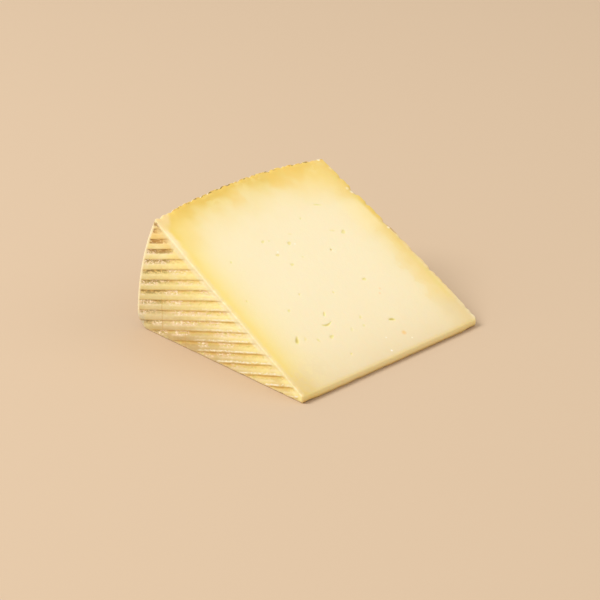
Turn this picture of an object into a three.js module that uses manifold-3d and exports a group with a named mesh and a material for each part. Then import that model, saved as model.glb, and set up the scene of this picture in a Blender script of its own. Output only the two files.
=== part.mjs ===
// A wedge of manchego, one twelfth of a small wheel, lying on one of its two cut faces.
// X runs along the wheel's axis, Y from the wedge's tip to the rim, Z up. Millimetres.
// The wheel is turned as one solid, the wedge is cut from it, and then the print of the
// cheese boards is pressed into both flat faces and the eyes into the upper cut.
import * as THREE from "three";
import { mergeVertices } from "three/addons/utils/BufferGeometryUtils.js";
import Module from "manifold-3d";

// Wheel
const RIM_RADIUS = 100;
const BELLY_RADIUS = 105;
const BELLY_HEIGHT = 54;
const BELLY_TO_NEAR_RIM = { span: 54, fall: 4.9 };
const BELLY_TO_FAR_RIM = { span: 37, fall: 3.6 };
const WHEEL_HEIGHT = 96.7;
const FAR_FACE_SAG = 5;
const NEAR_RIM_ROUND = 1.5;
const FAR_RIM_ROUND = 0.9;
const ROUND_STEPS = 4;
const FACE_RINGS = 5;

// Plaited band that printed the side: rows of slanting strokes that lean to and fro
const PLAIT_ROW = 8.6;
const PLAIT_STROKE = 5;
const PLAIT_LEAN = 5.5;
const PLAIT_DEPTH = 0.9;
const PLAIT_SEAM = 0.7;
const PLAIT_UNEVEN = 0.3;
const LINES_PER_ROW = 4;
const COLUMNS_PER_STROKE = 3;

// Wedge
const WEDGE_ANGLE = THREE.MathUtils.degToRad(29.4);
const TIP_CUT = 5.6;
const TIP_FOOT = 5.2;
const TIP_BULGE = { y: 4.3, z: 1.1 };
const TIP_FRONT = 4.65;
const TIP_CORNER_ROUND = { near: 1.4, far: 3 };
const CUT_REACH = 130;

// Board print: parallel ridges, each round above and sharp below, over a sloping groove
const RIDGE_PITCH = 4.11;
const GROOVE_DEPTH = 0.4;
const RIDGE_PROFILE = [
  [0.0, 0.3],
  [0.03, 1.0],
  [0.22, 0.88],
  [0.45, 0.42],
  [0.58, 0.14],
  [0.75, 0.06],
  [0.92, 0.12],
];
const RIDGE_REACH = 112;
const RIDGE_STEPS = 9;
const PRINT_LIFT = 3;
const PRINT_MARGIN = 2;
const PRINT_RADIUS = 98.8;
const PRINT_ARC_STEPS = 20;
const NEAR_PRINT = { direction: THREE.MathUtils.degToRad(-17.5), firstLip: 65.4 };
const FAR_PRINT = { direction: THREE.MathUtils.degToRad(9.4), firstLip: 64 };

// Eyes in the upper cut: place from the wheel's axis and from the near face, length,
// width, and turn from the radius
const EYE_DEPTH = 0.8;
const EYES = [
  { out: 28, along: 16.4, length: 3.2, width: 1.1, turn: 35 },
  { out: 29.9, along: 33.7, length: 4.2, width: 1.0, turn: 80 },
  { out: 34.1, along: 35.3, length: 1.9, width: 0.8, turn: 30 },
  { out: 20.6, along: 60.9, length: 1.9, width: 1.4, turn: 90 },
  { out: 65.2, along: 72.6, length: 2.4, width: 1.3, turn: 55 },
  { out: 69.1, along: 45.9, length: 1.8, width: 1.2, turn: 20 },
  { out: 73.9, along: 35.6, length: 1.5, width: 1.0, turn: 70 },
  { out: 24.1, along: 30.9, length: 1.6, width: 1.2, turn: 60 },
];

// Turns of axes: a lathe turns round Y and an extrusion runs along Z, and both go to X
const AXIS_FROM_Y = new THREE.Matrix4().makeBasis(
  new THREE.Vector3(0, 0, 1),
  new THREE.Vector3(1, 0, 0),
  new THREE.Vector3(0, 1, 0),
);
const AXIS_FROM_Z = new THREE.Matrix4().makeBasis(
  new THREE.Vector3(0, 1, 0),
  new THREE.Vector3(0, 0, 1),
  new THREE.Vector3(1, 0, 0),
);

const wasm = await Module();
wasm.setup();

// Turns a closed geometry into a solid, without triangles that close up at a pole
function solidFrom(geometry) {
  const bare = geometry.clone();
  bare.deleteAttribute("normal");
  bare.deleteAttribute("uv");
  const merged = mergeVertices(bare, 1e-4);
  const index = merged.index.array;
  const kept = [];
  for (let i = 0; i < index.length; i += 3) {
    const [a, b, c] = [index[i], index[i + 1], index[i + 2]];
    if (a !== b && b !== c && c !== a) kept.push(a, b, c);
  }
  const mesh = new wasm.Mesh({
    numProp: 3,
    vertProperties: new Float32Array(merged.attributes.position.array),
    triVerts: new Uint32Array(kept),
  });
  return new wasm.Manifold(mesh);
}

function geometryFrom(solid) {
  const mesh = solid.getMesh();
  const geometry = new THREE.BufferGeometry();
  geometry.setAttribute("position", new THREE.BufferAttribute(mesh.vertProperties, 3));
  geometry.setIndex(new THREE.BufferAttribute(mesh.triVerts, 1));
  geometry.computeVertexNormals();
  return geometry;
}

// A repeatable number from 0 to 1 for a pair of whole numbers
function scatter(a, b) {
  const wave = Math.sin(a * 127.1 + b * 311.7) * 43758.5453;
  return wave - Math.floor(wave);
}

function sideRadius(height) {
  const { span, fall } = height < BELLY_HEIGHT ? BELLY_TO_NEAR_RIM : BELLY_TO_FAR_RIM;
  return BELLY_RADIUS - fall * ((height - BELLY_HEIGHT) / span) ** 2;
}

function farFaceHeight(radius) {
  return WHEEL_HEIGHT - FAR_FACE_SAG * (radius / RIM_RADIUS) ** 2;
}

// A quarter turn that rounds one rim, from its first point to its last
function rimRound(corner, round, from, to) {
  const points = [];
  for (let i = 0; i <= ROUND_STEPS; i += 1) {
    const turn = from + ((to - from) * i) / ROUND_STEPS;
    points.push(new THREE.Vector2(
      corner.x + round * Math.cos(turn),
      corner.y + round * Math.sin(turn),
    ));
  }
  return points;
}

// Half of the wheel's section, as radius and height, and which of its points the band printed
function wheelSection() {
  const nearRim = sideRadius(NEAR_RIM_ROUND);
  const topOfSide = farFaceHeight(RIM_RADIUS) - FAR_RIM_ROUND;
  const farRim = sideRadius(topOfSide);
  const nearCentre = new THREE.Vector2(nearRim - NEAR_RIM_ROUND, NEAR_RIM_ROUND);
  const farCentre = new THREE.Vector2(farRim - FAR_RIM_ROUND, topOfSide);
  const points = [new THREE.Vector2(0, 0)];
  points.push(...rimRound(nearCentre, NEAR_RIM_ROUND, -Math.PI / 2, 0));
  const lines = Math.round(((topOfSide - NEAR_RIM_ROUND) / PLAIT_ROW) * LINES_PER_ROW);
  const firstPrinted = points.length - 1;
  for (let line = 1; line < lines; line += 1) {
    const height = THREE.MathUtils.lerp(NEAR_RIM_ROUND, topOfSide, line / lines);
    points.push(new THREE.Vector2(sideRadius(height), height));
  }
  const lastPrinted = points.length;
  points.push(...rimRound(farCentre, FAR_RIM_ROUND, 0, Math.PI / 2));
  const faceEdge = points.at(-1).x;
  for (let ring = FACE_RINGS - 1; ring >= 0; ring -= 1) {
    const radius = (faceEdge * ring) / FACE_RINGS;
    points.push(new THREE.Vector2(radius, farFaceHeight(radius)));
  }
  return { points, firstPrinted, lastPrinted };
}

// How deep the plait pressed: between the strokes, along the seams of its rows, and unevenly
function plaitDepth(column, row, part) {
  const between = column % COLUMNS_PER_STROKE === 0 ? PLAIT_DEPTH : 0;
  const seam = part === 0 ? PLAIT_SEAM : 0;
  const stroke = Math.floor(column / COLUMNS_PER_STROKE);
  return Math.max(between, seam) + PLAIT_UNEVEN * scatter(stroke, row);
}

// The whole wheel, its side pressed by the plait
function wheel() {
  const { points, firstPrinted, lastPrinted } = wheelSection();
  const strokes = Math.round((2 * Math.PI * RIM_RADIUS) / PLAIT_STROKE);
  const columns = strokes * COLUMNS_PER_STROKE;
  const geometry = new THREE.LatheGeometry(points, columns);
  const position = geometry.attributes.position;
  for (let column = 0; column <= columns; column += 1) {
    for (let line = firstPrinted; line <= lastPrinted; line += 1) {
      const step = line - firstPrinted;
      const row = Math.floor(step / LINES_PER_ROW);
      const part = (step % LINES_PER_ROW) / LINES_PER_ROW;
      const lean = (row % 2 === 0 ? part - 0.5 : 0.5 - part) * PLAIT_LEAN;
      const turn = (2 * Math.PI * column) / columns + lean / RIM_RADIUS;
      const atRim = line === firstPrinted || line === lastPrinted;
      const radius = points[line].x - (atRim ? 0 : plaitDepth(column % columns, row, part));
      const at = column * points.length + line;
      position.setX(at, radius * Math.sin(turn));
      position.setZ(at, radius * Math.cos(turn));
    }
  }
  return solidFrom(geometry.applyMatrix4(AXIS_FROM_Y));
}

function alongAxis(shape, from, to, curveSegments = 1) {
  const geometry = new THREE.ExtrudeGeometry(shape, {
    depth: to - from,
    bevelEnabled: false,
    curveSegments,
  });
  return geometry.translate(0, 0, from).applyMatrix4(AXIS_FROM_Z);
}

// What the two cuts leave: a sector with a blunt, slightly round tip
function wedgeCut() {
  const shape = new THREE.Shape();
  const [rise, run] = [Math.sin(WEDGE_ANGLE), Math.cos(WEDGE_ANGLE)];
  shape.moveTo(TIP_FOOT, 0);
  shape.lineTo(CUT_REACH, 0);
  shape.lineTo(CUT_REACH, CUT_REACH * Math.tan(WEDGE_ANGLE));
  shape.lineTo(TIP_CUT * run, TIP_CUT * rise);
  shape.quadraticCurveTo(TIP_BULGE.y, TIP_BULGE.z, TIP_FOOT, 0);
  return solidFrom(alongAxis(shape, -PRINT_LIFT, WHEEL_HEIGHT + PRINT_LIFT, 4));
}

// What a worn tip corner has lost: an upright piece outside a quarter round. The corner is
// at the height given along the wheel's axis, and its cheese lies on the inward side
function tipCornerLoss(height, inward, round) {
  const shape = new THREE.Shape();
  const centre = { x: height + inward * round, y: TIP_FRONT + round };
  shape.moveTo(height - inward, centre.y);
  shape.lineTo(height, centre.y);
  shape.absarc(centre.x, centre.y, round, inward > 0 ? Math.PI : 0, 1.5 * Math.PI, inward < 0);
  shape.lineTo(centre.x, TIP_FRONT - 1);
  shape.lineTo(height - inward, TIP_FRONT - 1);
  const geometry = new THREE.ExtrudeGeometry(shape, {
    depth: TIP_CUT + 2 * round,
    bevelEnabled: false,
    curveSegments: ROUND_STEPS,
  });
  return solidFrom(geometry.translate(0, 0, -1));
}

// The part of a flat face that takes the print: inside the rim's lip and off both cuts
function printedSector(from, to) {
  const shape = new THREE.Shape();
  const start = PRINT_MARGIN / Math.sin(WEDGE_ANGLE / 2);
  const inset = Math.asin(PRINT_MARGIN / PRINT_RADIUS);
  shape.moveTo(start * Math.cos(WEDGE_ANGLE / 2), start * Math.sin(WEDGE_ANGLE / 2));
  shape.lineTo(PRINT_RADIUS * Math.cos(inset), PRINT_RADIUS * Math.sin(inset));
  shape.absarc(0, 0, PRINT_RADIUS, inset, WEDGE_ANGLE - inset, false);
  return solidFrom(alongAxis(shape, from, to, PRINT_ARC_STEPS));
}

// Section across the ridges: how far from the wheel's axis, and how deep in the face
function printSection(firstLip) {
  const shape = new THREE.Shape();
  const ridges = Math.ceil(RIDGE_REACH / RIDGE_PITCH);
  const top = firstLip + RIDGE_PITCH * 8;
  shape.moveTo(top, -PRINT_LIFT);
  shape.lineTo(top - ridges * RIDGE_PITCH, -PRINT_LIFT);
  for (let ridge = ridges - 1; ridge >= 0; ridge -= 1) {
    for (const [part, depth] of [...RIDGE_PROFILE].reverse()) {
      shape.lineTo(top - (ridge + part) * RIDGE_PITCH, depth * GROOVE_DEPTH);
    }
  }
  return shape;
}

// The board itself, which follows the face's dome
function board(print, faceHeight, inward, dome) {
  const geometry = new THREE.ExtrudeGeometry(printSection(print.firstLip), {
    depth: 2 * RIDGE_REACH,
    steps: RIDGE_STEPS,
    bevelEnabled: false,
  });
  geometry.translate(0, 0, -RIDGE_REACH);
  const along = new THREE.Vector3(0, Math.cos(print.direction), Math.sin(print.direction));
  const across = new THREE.Vector3(0, -Math.sin(print.direction), Math.cos(print.direction));
  const depth = new THREE.Vector3(inward, 0, 0);
  const frame = new THREE.Matrix4().makeBasis(across, depth, along.multiplyScalar(inward));
  geometry.applyMatrix4(frame.setPosition(faceHeight, 0, 0));
  const position = geometry.attributes.position;
  for (let i = 0; i < position.count; i += 1) {
    const radius = Math.hypot(position.getY(i), position.getZ(i));
    position.setX(i, position.getX(i) - dome * (radius / RIM_RADIUS) ** 2);
  }
  return solidFrom(geometry);
}

// A lens-shaped cutter for one eye, laid in the sloping cut
function eye({ out, along, length, width, turn }) {
  const geometry = new THREE.SphereGeometry(1, 8, 6);
  geometry.scale(length / 2, width / 2, EYE_DEPTH);
  geometry.rotateZ(THREE.MathUtils.degToRad(turn));
  const outward = new THREE.Vector3(0, Math.cos(WEDGE_ANGLE), Math.sin(WEDGE_ANGLE));
  const sideways = new THREE.Vector3(1, 0, 0);
  const frame = new THREE.Matrix4().makeBasis(
    outward,
    sideways,
    new THREE.Vector3().crossVectors(outward, sideways),
  );
  const place = outward.clone().multiplyScalar(out).addScaledVector(sideways, along);
  return solidFrom(geometry.applyMatrix4(frame.setPosition(place)));
}

function cheeseWedge() {
  let cheese = wheel().intersect(wedgeCut());
  const nearBoard = board(NEAR_PRINT, 0, 1, 0);
  const farBoard = board(FAR_PRINT, WHEEL_HEIGHT, -1, FAR_FACE_SAG);
  const nearSector = printedSector(-PRINT_LIFT, WHEEL_HEIGHT / 2);
  const farSector = printedSector(WHEEL_HEIGHT / 2, WHEEL_HEIGHT + PRINT_LIFT);
  cheese = cheese.subtract(nearBoard.intersect(nearSector));
  cheese = cheese.subtract(farBoard.intersect(farSector));
  cheese = cheese.subtract(tipCornerLoss(0, 1, TIP_CORNER_ROUND.near));
  cheese = cheese.subtract(tipCornerLoss(farFaceHeight(TIP_CUT), -1, TIP_CORNER_ROUND.far));
  for (const each of EYES) cheese = cheese.subtract(eye(each));
  return geometryFrom(cheese);
}

const geometry = cheeseWedge();
geometry.computeBoundingBox();
const { min, max } = geometry.boundingBox;
geometry.translate(-(min.x + max.x) / 2, -(min.y + max.y) / 2, -min.z);

const paste = new THREE.MeshStandardMaterial({
  name: "cheese",
  color: 0xfbe6ac,
  roughness: 0.55,
  metalness: 0,
});
const wedge = new THREE.Mesh(geometry, paste);
wedge.name = "cheese_wedge";

const manchego = new THREE.Group();
manchego.add(wedge);

export default manchego;
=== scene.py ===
"""A wedge of manchego lying on its lower cut face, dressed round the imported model.

The wedge is worked out in millimetres round its wheel's own axis: x runs along the axis from
the near flat face, y from the axis along the lower cut, z up. The finished piece is moved to
the row frame in metres. The wedge is made in three steps: a clean body with soft edges and
eyes, then the print of the cheese boards and of the plaited band pressed into its rind by
Geometry Nodes, then the paste and the rind as procedural finishes.
"""

from __future__ import annotations

import logging
import math
from collections.abc import Iterable
from dataclasses import dataclass, field, fields
from enum import Enum
from functools import partial

import bmesh
import bpy
import numpy as np
from mathutils import Matrix, Vector, noise
from mathutils.geometry import delaunay_2d_cdt


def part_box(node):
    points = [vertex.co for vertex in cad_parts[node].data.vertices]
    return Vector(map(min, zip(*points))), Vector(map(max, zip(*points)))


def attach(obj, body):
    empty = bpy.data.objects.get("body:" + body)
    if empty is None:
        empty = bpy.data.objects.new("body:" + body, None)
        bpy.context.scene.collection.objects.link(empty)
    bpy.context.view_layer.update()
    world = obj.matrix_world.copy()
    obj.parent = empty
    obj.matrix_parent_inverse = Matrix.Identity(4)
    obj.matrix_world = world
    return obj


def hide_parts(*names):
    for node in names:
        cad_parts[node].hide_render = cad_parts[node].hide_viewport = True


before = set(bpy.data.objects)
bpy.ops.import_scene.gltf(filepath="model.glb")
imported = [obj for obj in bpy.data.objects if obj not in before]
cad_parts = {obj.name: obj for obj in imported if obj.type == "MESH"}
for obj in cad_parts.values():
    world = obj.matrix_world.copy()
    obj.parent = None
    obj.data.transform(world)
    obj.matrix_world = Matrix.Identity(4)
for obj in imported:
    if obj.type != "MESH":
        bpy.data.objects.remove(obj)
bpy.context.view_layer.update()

NODE = "cheese_wedge"
BODY = "root"
MM = 0.001
TINY = 1e-9
LOG = logging.getLogger("manchego")

# Blender's names for the kinds of node that most trees use
MATH = "ShaderNodeMath"
NOISE = "ShaderNodeTexNoise"
RANGE = "ShaderNodeMapRange"
SPLIT = "ShaderNodeSeparateXYZ"
COMBINE = "ShaderNodeCombineXYZ"
VECTOR_MATH = "ShaderNodeVectorMath"
ATTRIBUTE = "GeometryNodeInputNamedAttribute"
COMPARE = "FunctionNodeCompare"
STORE = "GeometryNodeStoreNamedAttribute"
# The setting of a noise that takes a seed, and those of the commonest arithmetic
SEEDED = {"noise_dimensions": "4D"}
ADD, SUBTRACT, MULTIPLY, DIVIDE, MULTIPLY_ADD = (
    {"operation": name} for name in ("ADD", "SUBTRACT", "MULTIPLY", "DIVIDE", "MULTIPLY_ADD")
)

Colour = tuple[float, float, float, float]
Socket = bpy.types.NodeSocket


class Part(Enum):
    """The surfaces of the wedge, as numbered on its faces."""

    LOWER_CUT = 0
    UPPER_CUT = 1
    TIP = 2
    NEAR_FACE = 3
    FAR_FACE = 4
    SIDE = 5


# The attribute that holds each point's distance inside a surface, in millimetres
DISTANCES = {
    Part.LOWER_CUT: "from_lower_cut",
    Part.UPPER_CUT: "from_upper_cut",
    Part.TIP: "from_tip",
    Part.NEAR_FACE: "from_near",
    Part.FAR_FACE: "from_far",
    Part.SIDE: "from_side",
}


def linear(code: str) -> Colour:
    """Turns a colour from sRGB to linear light.

    Args:
        code: Six hex digits, red first.

    Returns:
        Red, green and blue from 0 to 1, and a full alpha.
    """
    shares = [int(code[i : i + 2], 16) / 255 for i in (0, 2, 4)]
    light = [s / 12.92 if s <= 0.04045 else ((s + 0.055) / 1.055) ** 2.4 for s in shares]
    return (*light, 1.0)


def add_node(
    tree: bpy.types.NodeTree,
    kind: str,
    settings: dict[str, object] | None = None,
    inputs: dict[str | int, object] | None = None,
) -> bpy.types.Node:
    """Adds one node with its settings, and sets or links its inputs.

    Args:
        tree: The tree that takes the node.
        kind: Blender's name for the kind of node.
        settings: The node's own properties, by name.
        inputs: A value or another node's output for each input, by name or number.

    Returns:
        The new node.
    """
    node = tree.nodes.new(kind)
    for name, value in (settings or {}).items():
        setattr(node, name, value)
    for key, value in (inputs or {}).items():
        if isinstance(value, Socket):
            tree.links.new(value, node.inputs[key])
        else:
            node.inputs[key].default_value = value
    return node


def faded(
    tree: bpy.types.NodeTree, amount: Socket | float, fades: Iterable[tuple[object, ...]]
) -> Socket | float:
    """Fades an amount where any of several values says so.

    Args:
        tree: The tree that takes the nodes.
        amount: What fades.
        fades: A value, where its step starts and ends, and what is left on both sides.

    Returns:
        What is left of the amount.
    """
    for value, start, end, low, high in fades:
        step = add_node(
            tree,
            RANGE,
            {"interpolation_type": "SMOOTHSTEP"},
            {"Value": value, "From Min": start, "From Max": end, "To Min": low, "To Max": high},
        ).outputs[0]
        amount = add_node(tree, MATH, MULTIPLY, {0: step, 1: amount}).outputs[0]
    return amount


def unit(vectors: np.ndarray) -> np.ndarray:
    """Returns the vectors at length one."""
    return vectors / np.linalg.norm(vectors, axis=-1, keepdims=True)


def spaced(start: float, end: float, step: float) -> np.ndarray:
    """Returns even places from start to end, about step apart."""
    return np.linspace(start, end, max(2, round(abs(end - start) / step) + 1))


def soften(
    points: np.ndarray,
    normals: tuple[np.ndarray, np.ndarray],
    gaps: tuple[np.ndarray, np.ndarray],
    radius: np.ndarray | float,
) -> np.ndarray:
    """Moves points near an edge onto the round that joins the two surfaces that meet there.

    Args:
        points: Points on the two surfaces or between them.
        normals: The inward normals of both surfaces at each point.
        gaps: How far inside both surfaces each point is.
        radius: The round's radius.

    Returns:
        The points, moved where the round reaches them.
    """
    lean = np.sum(normals[0] * normals[1], axis=1)
    short = [radius - gap for gap in gaps]
    reach = [(short[i] - lean * short[1 - i]) / (1 - lean**2) for i in (0, 1)]
    inward = reach[0][:, None] * normals[0] + reach[1][:, None] * normals[1]
    length = np.maximum(np.linalg.norm(inward, axis=1), TINY)
    moved = points + inward * (1 - radius / length)[:, None]
    reached = (reach[0] > 0) & (reach[1] > 0) & (length > radius)
    return np.where(reached[:, None], moved, points)


@dataclass(frozen=True)
class Wheel:
    """The wheel that the wedge is a twelfth of, as a body of revolution.

    From its widest place the side falls away by so much over so long a span to each rim. The
    near face is flat, and the far face is domed.
    """

    rim_radius: float = 100.0
    belly_radius: float = 105.0
    belly_height: float = 54.0
    near_span: float = 54.0
    near_fall: float = 4.9
    far_span: float = 37.0
    far_fall: float = 3.6
    height: float = 96.7
    far_sag: float = 5.0
    near_round: float = 1.5
    far_round: float = 0.9

    def side_radius(self, x: np.ndarray | float) -> np.ndarray:
        """Works out the radius of the bellied side.

        Args:
            x: Places along the axis.

        Returns:
            The side's distance from the axis at each.
        """
        x = np.asarray(x, float)
        near = x < self.belly_height
        span = np.where(near, self.near_span, self.far_span)
        fall = np.where(near, self.near_fall, self.far_fall)
        return self.belly_radius - fall * ((x - self.belly_height) / span) ** 2

    def side_slope(self, x: np.ndarray) -> np.ndarray:
        """Returns how fast the side's radius grows along x."""
        step = 0.01
        return (self.side_radius(x + step) - self.side_radius(x - step)) / (2 * step)

    def far_height(self, radius: np.ndarray | float) -> np.ndarray:
        """Returns the x of the domed far face at a radius."""
        return self.height - self.far_sag * (np.asarray(radius, float) / self.rim_radius) ** 2

    @property
    def side_end(self) -> float:
        """Returns the x at which the side turns into the far rim's round."""
        return float(self.far_height(self.rim_radius)) - self.far_round

    @property
    def near_edge(self) -> float:
        """Returns the radius at which the near face turns into its rim's round."""
        return float(self.side_radius(self.near_round)) - self.near_round

    @property
    def far_edge(self) -> float:
        """Returns the radius at which the far face turns into its rim's round."""
        return float(self.side_radius(self.side_end)) - self.far_round


@dataclass(frozen=True)
class Nose:
    """The blunt tip of the wedge, where both cuts missed the wheel's axis.

    The angle is the one between the cuts. The foot and the top are the tip's distances from
    the axis along the lower and the upper cut, the bulge (y, z) draws the line between them
    outwards, and the front is how far from the axis the tip reaches.
    """

    angle: float = math.radians(29.4)
    foot: float = 5.2
    top: float = 5.6
    bulge: tuple[float, float] = (4.3, 1.1)
    front: float = 4.67
    near_round: float = 1.4
    far_round: float = 3.0
    samples: int = 200

    def curve(self) -> tuple[np.ndarray, np.ndarray, np.ndarray]:
        """Follows the nose from the lower to the upper cut.

        Returns:
            The turn round the axis, the distance from it and the inward normal all along.
        """
        t = np.linspace(0, 1, self.samples)[:, None]
        ends = (self.foot, 0.0), self.bulge, (
            self.top * math.cos(self.angle),
            self.top * math.sin(self.angle),
        )
        a, b, c = (np.array(p) for p in ends)
        yz = (1 - t) ** 2 * a + 2 * t * (1 - t) * b + t**2 * c
        run = unit((1 - t) * (b - a) + t * (c - b))
        normal = np.stack([np.zeros(self.samples), run[:, 1], -run[:, 0]], axis=1)
        return np.arctan2(yz[:, 1], yz[:, 0]), np.hypot(yz[:, 0], yz[:, 1]), normal

    def radius(self, turn: np.ndarray | float) -> np.ndarray:
        """Returns the nose's distance from the axis at a turn from the lower cut."""
        turns, radii, _ = self.curve()
        return np.interp(turn, turns, radii)

    def normal(self, turn: np.ndarray) -> np.ndarray:
        """Returns the nose's inward normal at a turn from the lower cut."""
        turns, _, normals = self.curve()
        return unit(np.stack([np.interp(turn, turns, n) for n in normals.T], axis=1))


@dataclass(frozen=True)
class Eye:
    """One small opening in a cut, by its place from the axis and from the near face.

    The turn of its length from the radius is in degrees, and the bend curves it.
    """

    out: float
    along: float
    length: float
    width: float
    turn: float
    depth: float = 0.7
    bend: float = 0.0

    # The rings that shape an eye: their sizes and depths, as shares of the whole
    RINGS = ((1.35, 0.0), (1.08, 0.08), (0.84, 0.44), (0.56, 0.84), (0.26, 1.0))
    # How far apart a ring's points are, and the least and most of them
    POINT_GAP = 0.42
    POINT_LIMITS = (9, 26)
    # An outline's girth over its length and width together
    GIRTH = 2.2
    # How far it strays from an ellipse in two swells, in three, and from point to point
    TWO_SWELLS = 0.16
    THREE_SWELLS = 0.1
    JITTER = 0.06
    # Where round the eye a swell may start, and how much of it the two may have
    STARTS = (0, 6)
    SWELL_SHARES = (0.3, 1)

    def local(self, points: np.ndarray) -> np.ndarray:
        """Turns points of the cut to the eye's own frame, its outline at length one.

        Args:
            points: Points of the cut (x, radius).

        Returns:
            The points along and across the eye.
        """
        turn = math.radians(self.turn)
        x, r = points[:, 0] - self.along, points[:, 1] - self.out
        u = (math.cos(turn) * r + math.sin(turn) * x) / (self.length / 2)
        v = (math.cos(turn) * x - math.sin(turn) * r) / (self.width / 2)
        return np.stack([u, v - self.bend * (u**2 - 0.5)], axis=1)

    def rings(self, rng: np.random.Generator) -> tuple[np.ndarray, np.ndarray, int]:
        """Returns the rings that shape the eye.

        Args:
            rng: Where its unevenness comes from.

        Returns:
            Cut points (x, radius), how deep each is pressed, and how many make one ring.
        """
        points = round(self.GIRTH * (self.length + self.width) / self.POINT_GAP)
        count = int(np.clip(points, *self.POINT_LIMITS))
        angle = np.linspace(0, 2 * math.pi, count, endpoint=False)
        swell = self.TWO_SWELLS * np.sin(angle * 2 + rng.uniform(*self.STARTS))
        uneven = 1 + swell * rng.uniform(*self.SWELL_SHARES)
        swell = self.THREE_SWELLS * np.sin(angle * 3 + rng.uniform(*self.STARTS))
        uneven += swell + rng.uniform(-self.JITTER, self.JITTER, count)
        places, depths = [], []
        for size, depth in self.RINGS:
            u = size * uneven * np.cos(angle)
            v = size * uneven * np.sin(angle) + self.bend * (u**2 - 0.5)
            places.append(np.stack([u * self.length / 2, v * self.width / 2], axis=1))
            depths.append(np.full(count, depth * self.depth))
        uv = np.concatenate(places)
        turn = math.radians(self.turn)
        r = self.out + math.cos(turn) * uv[:, 0] - math.sin(turn) * uv[:, 1]
        x = self.along + math.sin(turn) * uv[:, 0] + math.cos(turn) * uv[:, 1]
        return np.stack([x, r], axis=1), np.concatenate(depths), count


# Eyes of the upper cut; the eight largest lie within a millimetre of the CAD solid's pits
UPPER_EYES = (
    Eye(28.4, 15.9, 3.7, 1.5, 41, 0.3),
    Eye(29.9, 32.9, 4.9, 1.1, 96, 0.22, -1.6),
    Eye(34.3, 35.3, 2.2, 1.2, 40, 0.16),
    Eye(20.9, 60.7, 3.5, 1.1, 112, 0.3),
    Eye(65.2, 72.6, 2.3, 2.0, 55, 0.14),
    Eye(69.1, 45.9, 2.0, 1.7, 20, 0.14),
    Eye(73.9, 35.6, 1.7, 1.4, 70, 0.12),
    Eye(24.2, 30.6, 2.1, 1.7, 100, 0.16),
    Eye(41.8, 63.8, 2.0, 1.5, 85, 0.14),
    Eye(65.9, 37.0, 1.9, 1.2, 112, 0.13),
    Eye(41.4, 22.5, 1.7, 1.4, 60, 0.08),
    Eye(46.3, 32.1, 1.3, 1.0, 30, 0.08),
    Eye(41.6, 46.5, 1.5, 1.0, 10, 0.08),
    Eye(14.3, 32.6, 1.3, 1.0, 70, 0.12),
    Eye(59.6, 60.9, 0.9, 0.8, 0, 0.34),
    Eye(52.0, 9.3, 1.0, 0.8, 20, 0.12),
    Eye(27.1, 48.7, 2.1, 1.1, 35, 0.07),
    Eye(67.5, 68.4, 3.4, 1.2, 112, 0.05),
    Eye(81.3, 71.5, 4.2, 1.2, 112, 0.07),
    Eye(70.3, 16.0, 1.6, 1.0, 20, 0.08),
    Eye(59.7, 39.6, 2.0, 1.5, 112, 0.09),
    Eye(77.9, 59.5, 1.4, 1.0, 40, 0.07),
    Eye(73.3, 38.5, 1.0, 0.9, 0, 0.07),
    Eye(25.0, 24.3, 2.2, 1.2, 173, 0.07),
    Eye(27.5, 19.5, 2.2, 1.2, 40, 0.05),
    Eye(23.2, 47.2, 1.7, 1.4, 60, 0.06),
    Eye(23.8, 41.1, 2.6, 1.3, 40, 0.05),
    Eye(72.9, 49.5, 2.3, 1.0, 112, 0.04),
    Eye(61.2, 46.7, 1.1, 0.9, 0, 0.06),
)

# Eyes of the lower cut, which the wedge lies on
LOWER_EYES = (
    Eye(24.0, 62.0, 2.4, 1.0, 40, 0.7),
    Eye(31.0, 25.0, 3.4, 0.9, 100, 0.7, 0.5),
    Eye(38.0, 48.0, 1.6, 1.1, 20, 0.7),
    Eye(52.0, 70.0, 2.0, 0.9, 65, 0.6),
    Eye(57.0, 33.0, 1.4, 1.0, 130, 0.6),
    Eye(70.0, 55.0, 2.2, 1.0, 50, 0.6),
    Eye(78.0, 22.0, 1.3, 0.8, 80, 0.5),
    Eye(18.0, 41.0, 1.5, 0.9, 10, 0.6),
    Eye(84.0, 76.0, 1.2, 0.8, 45, 0.5),
)


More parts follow.
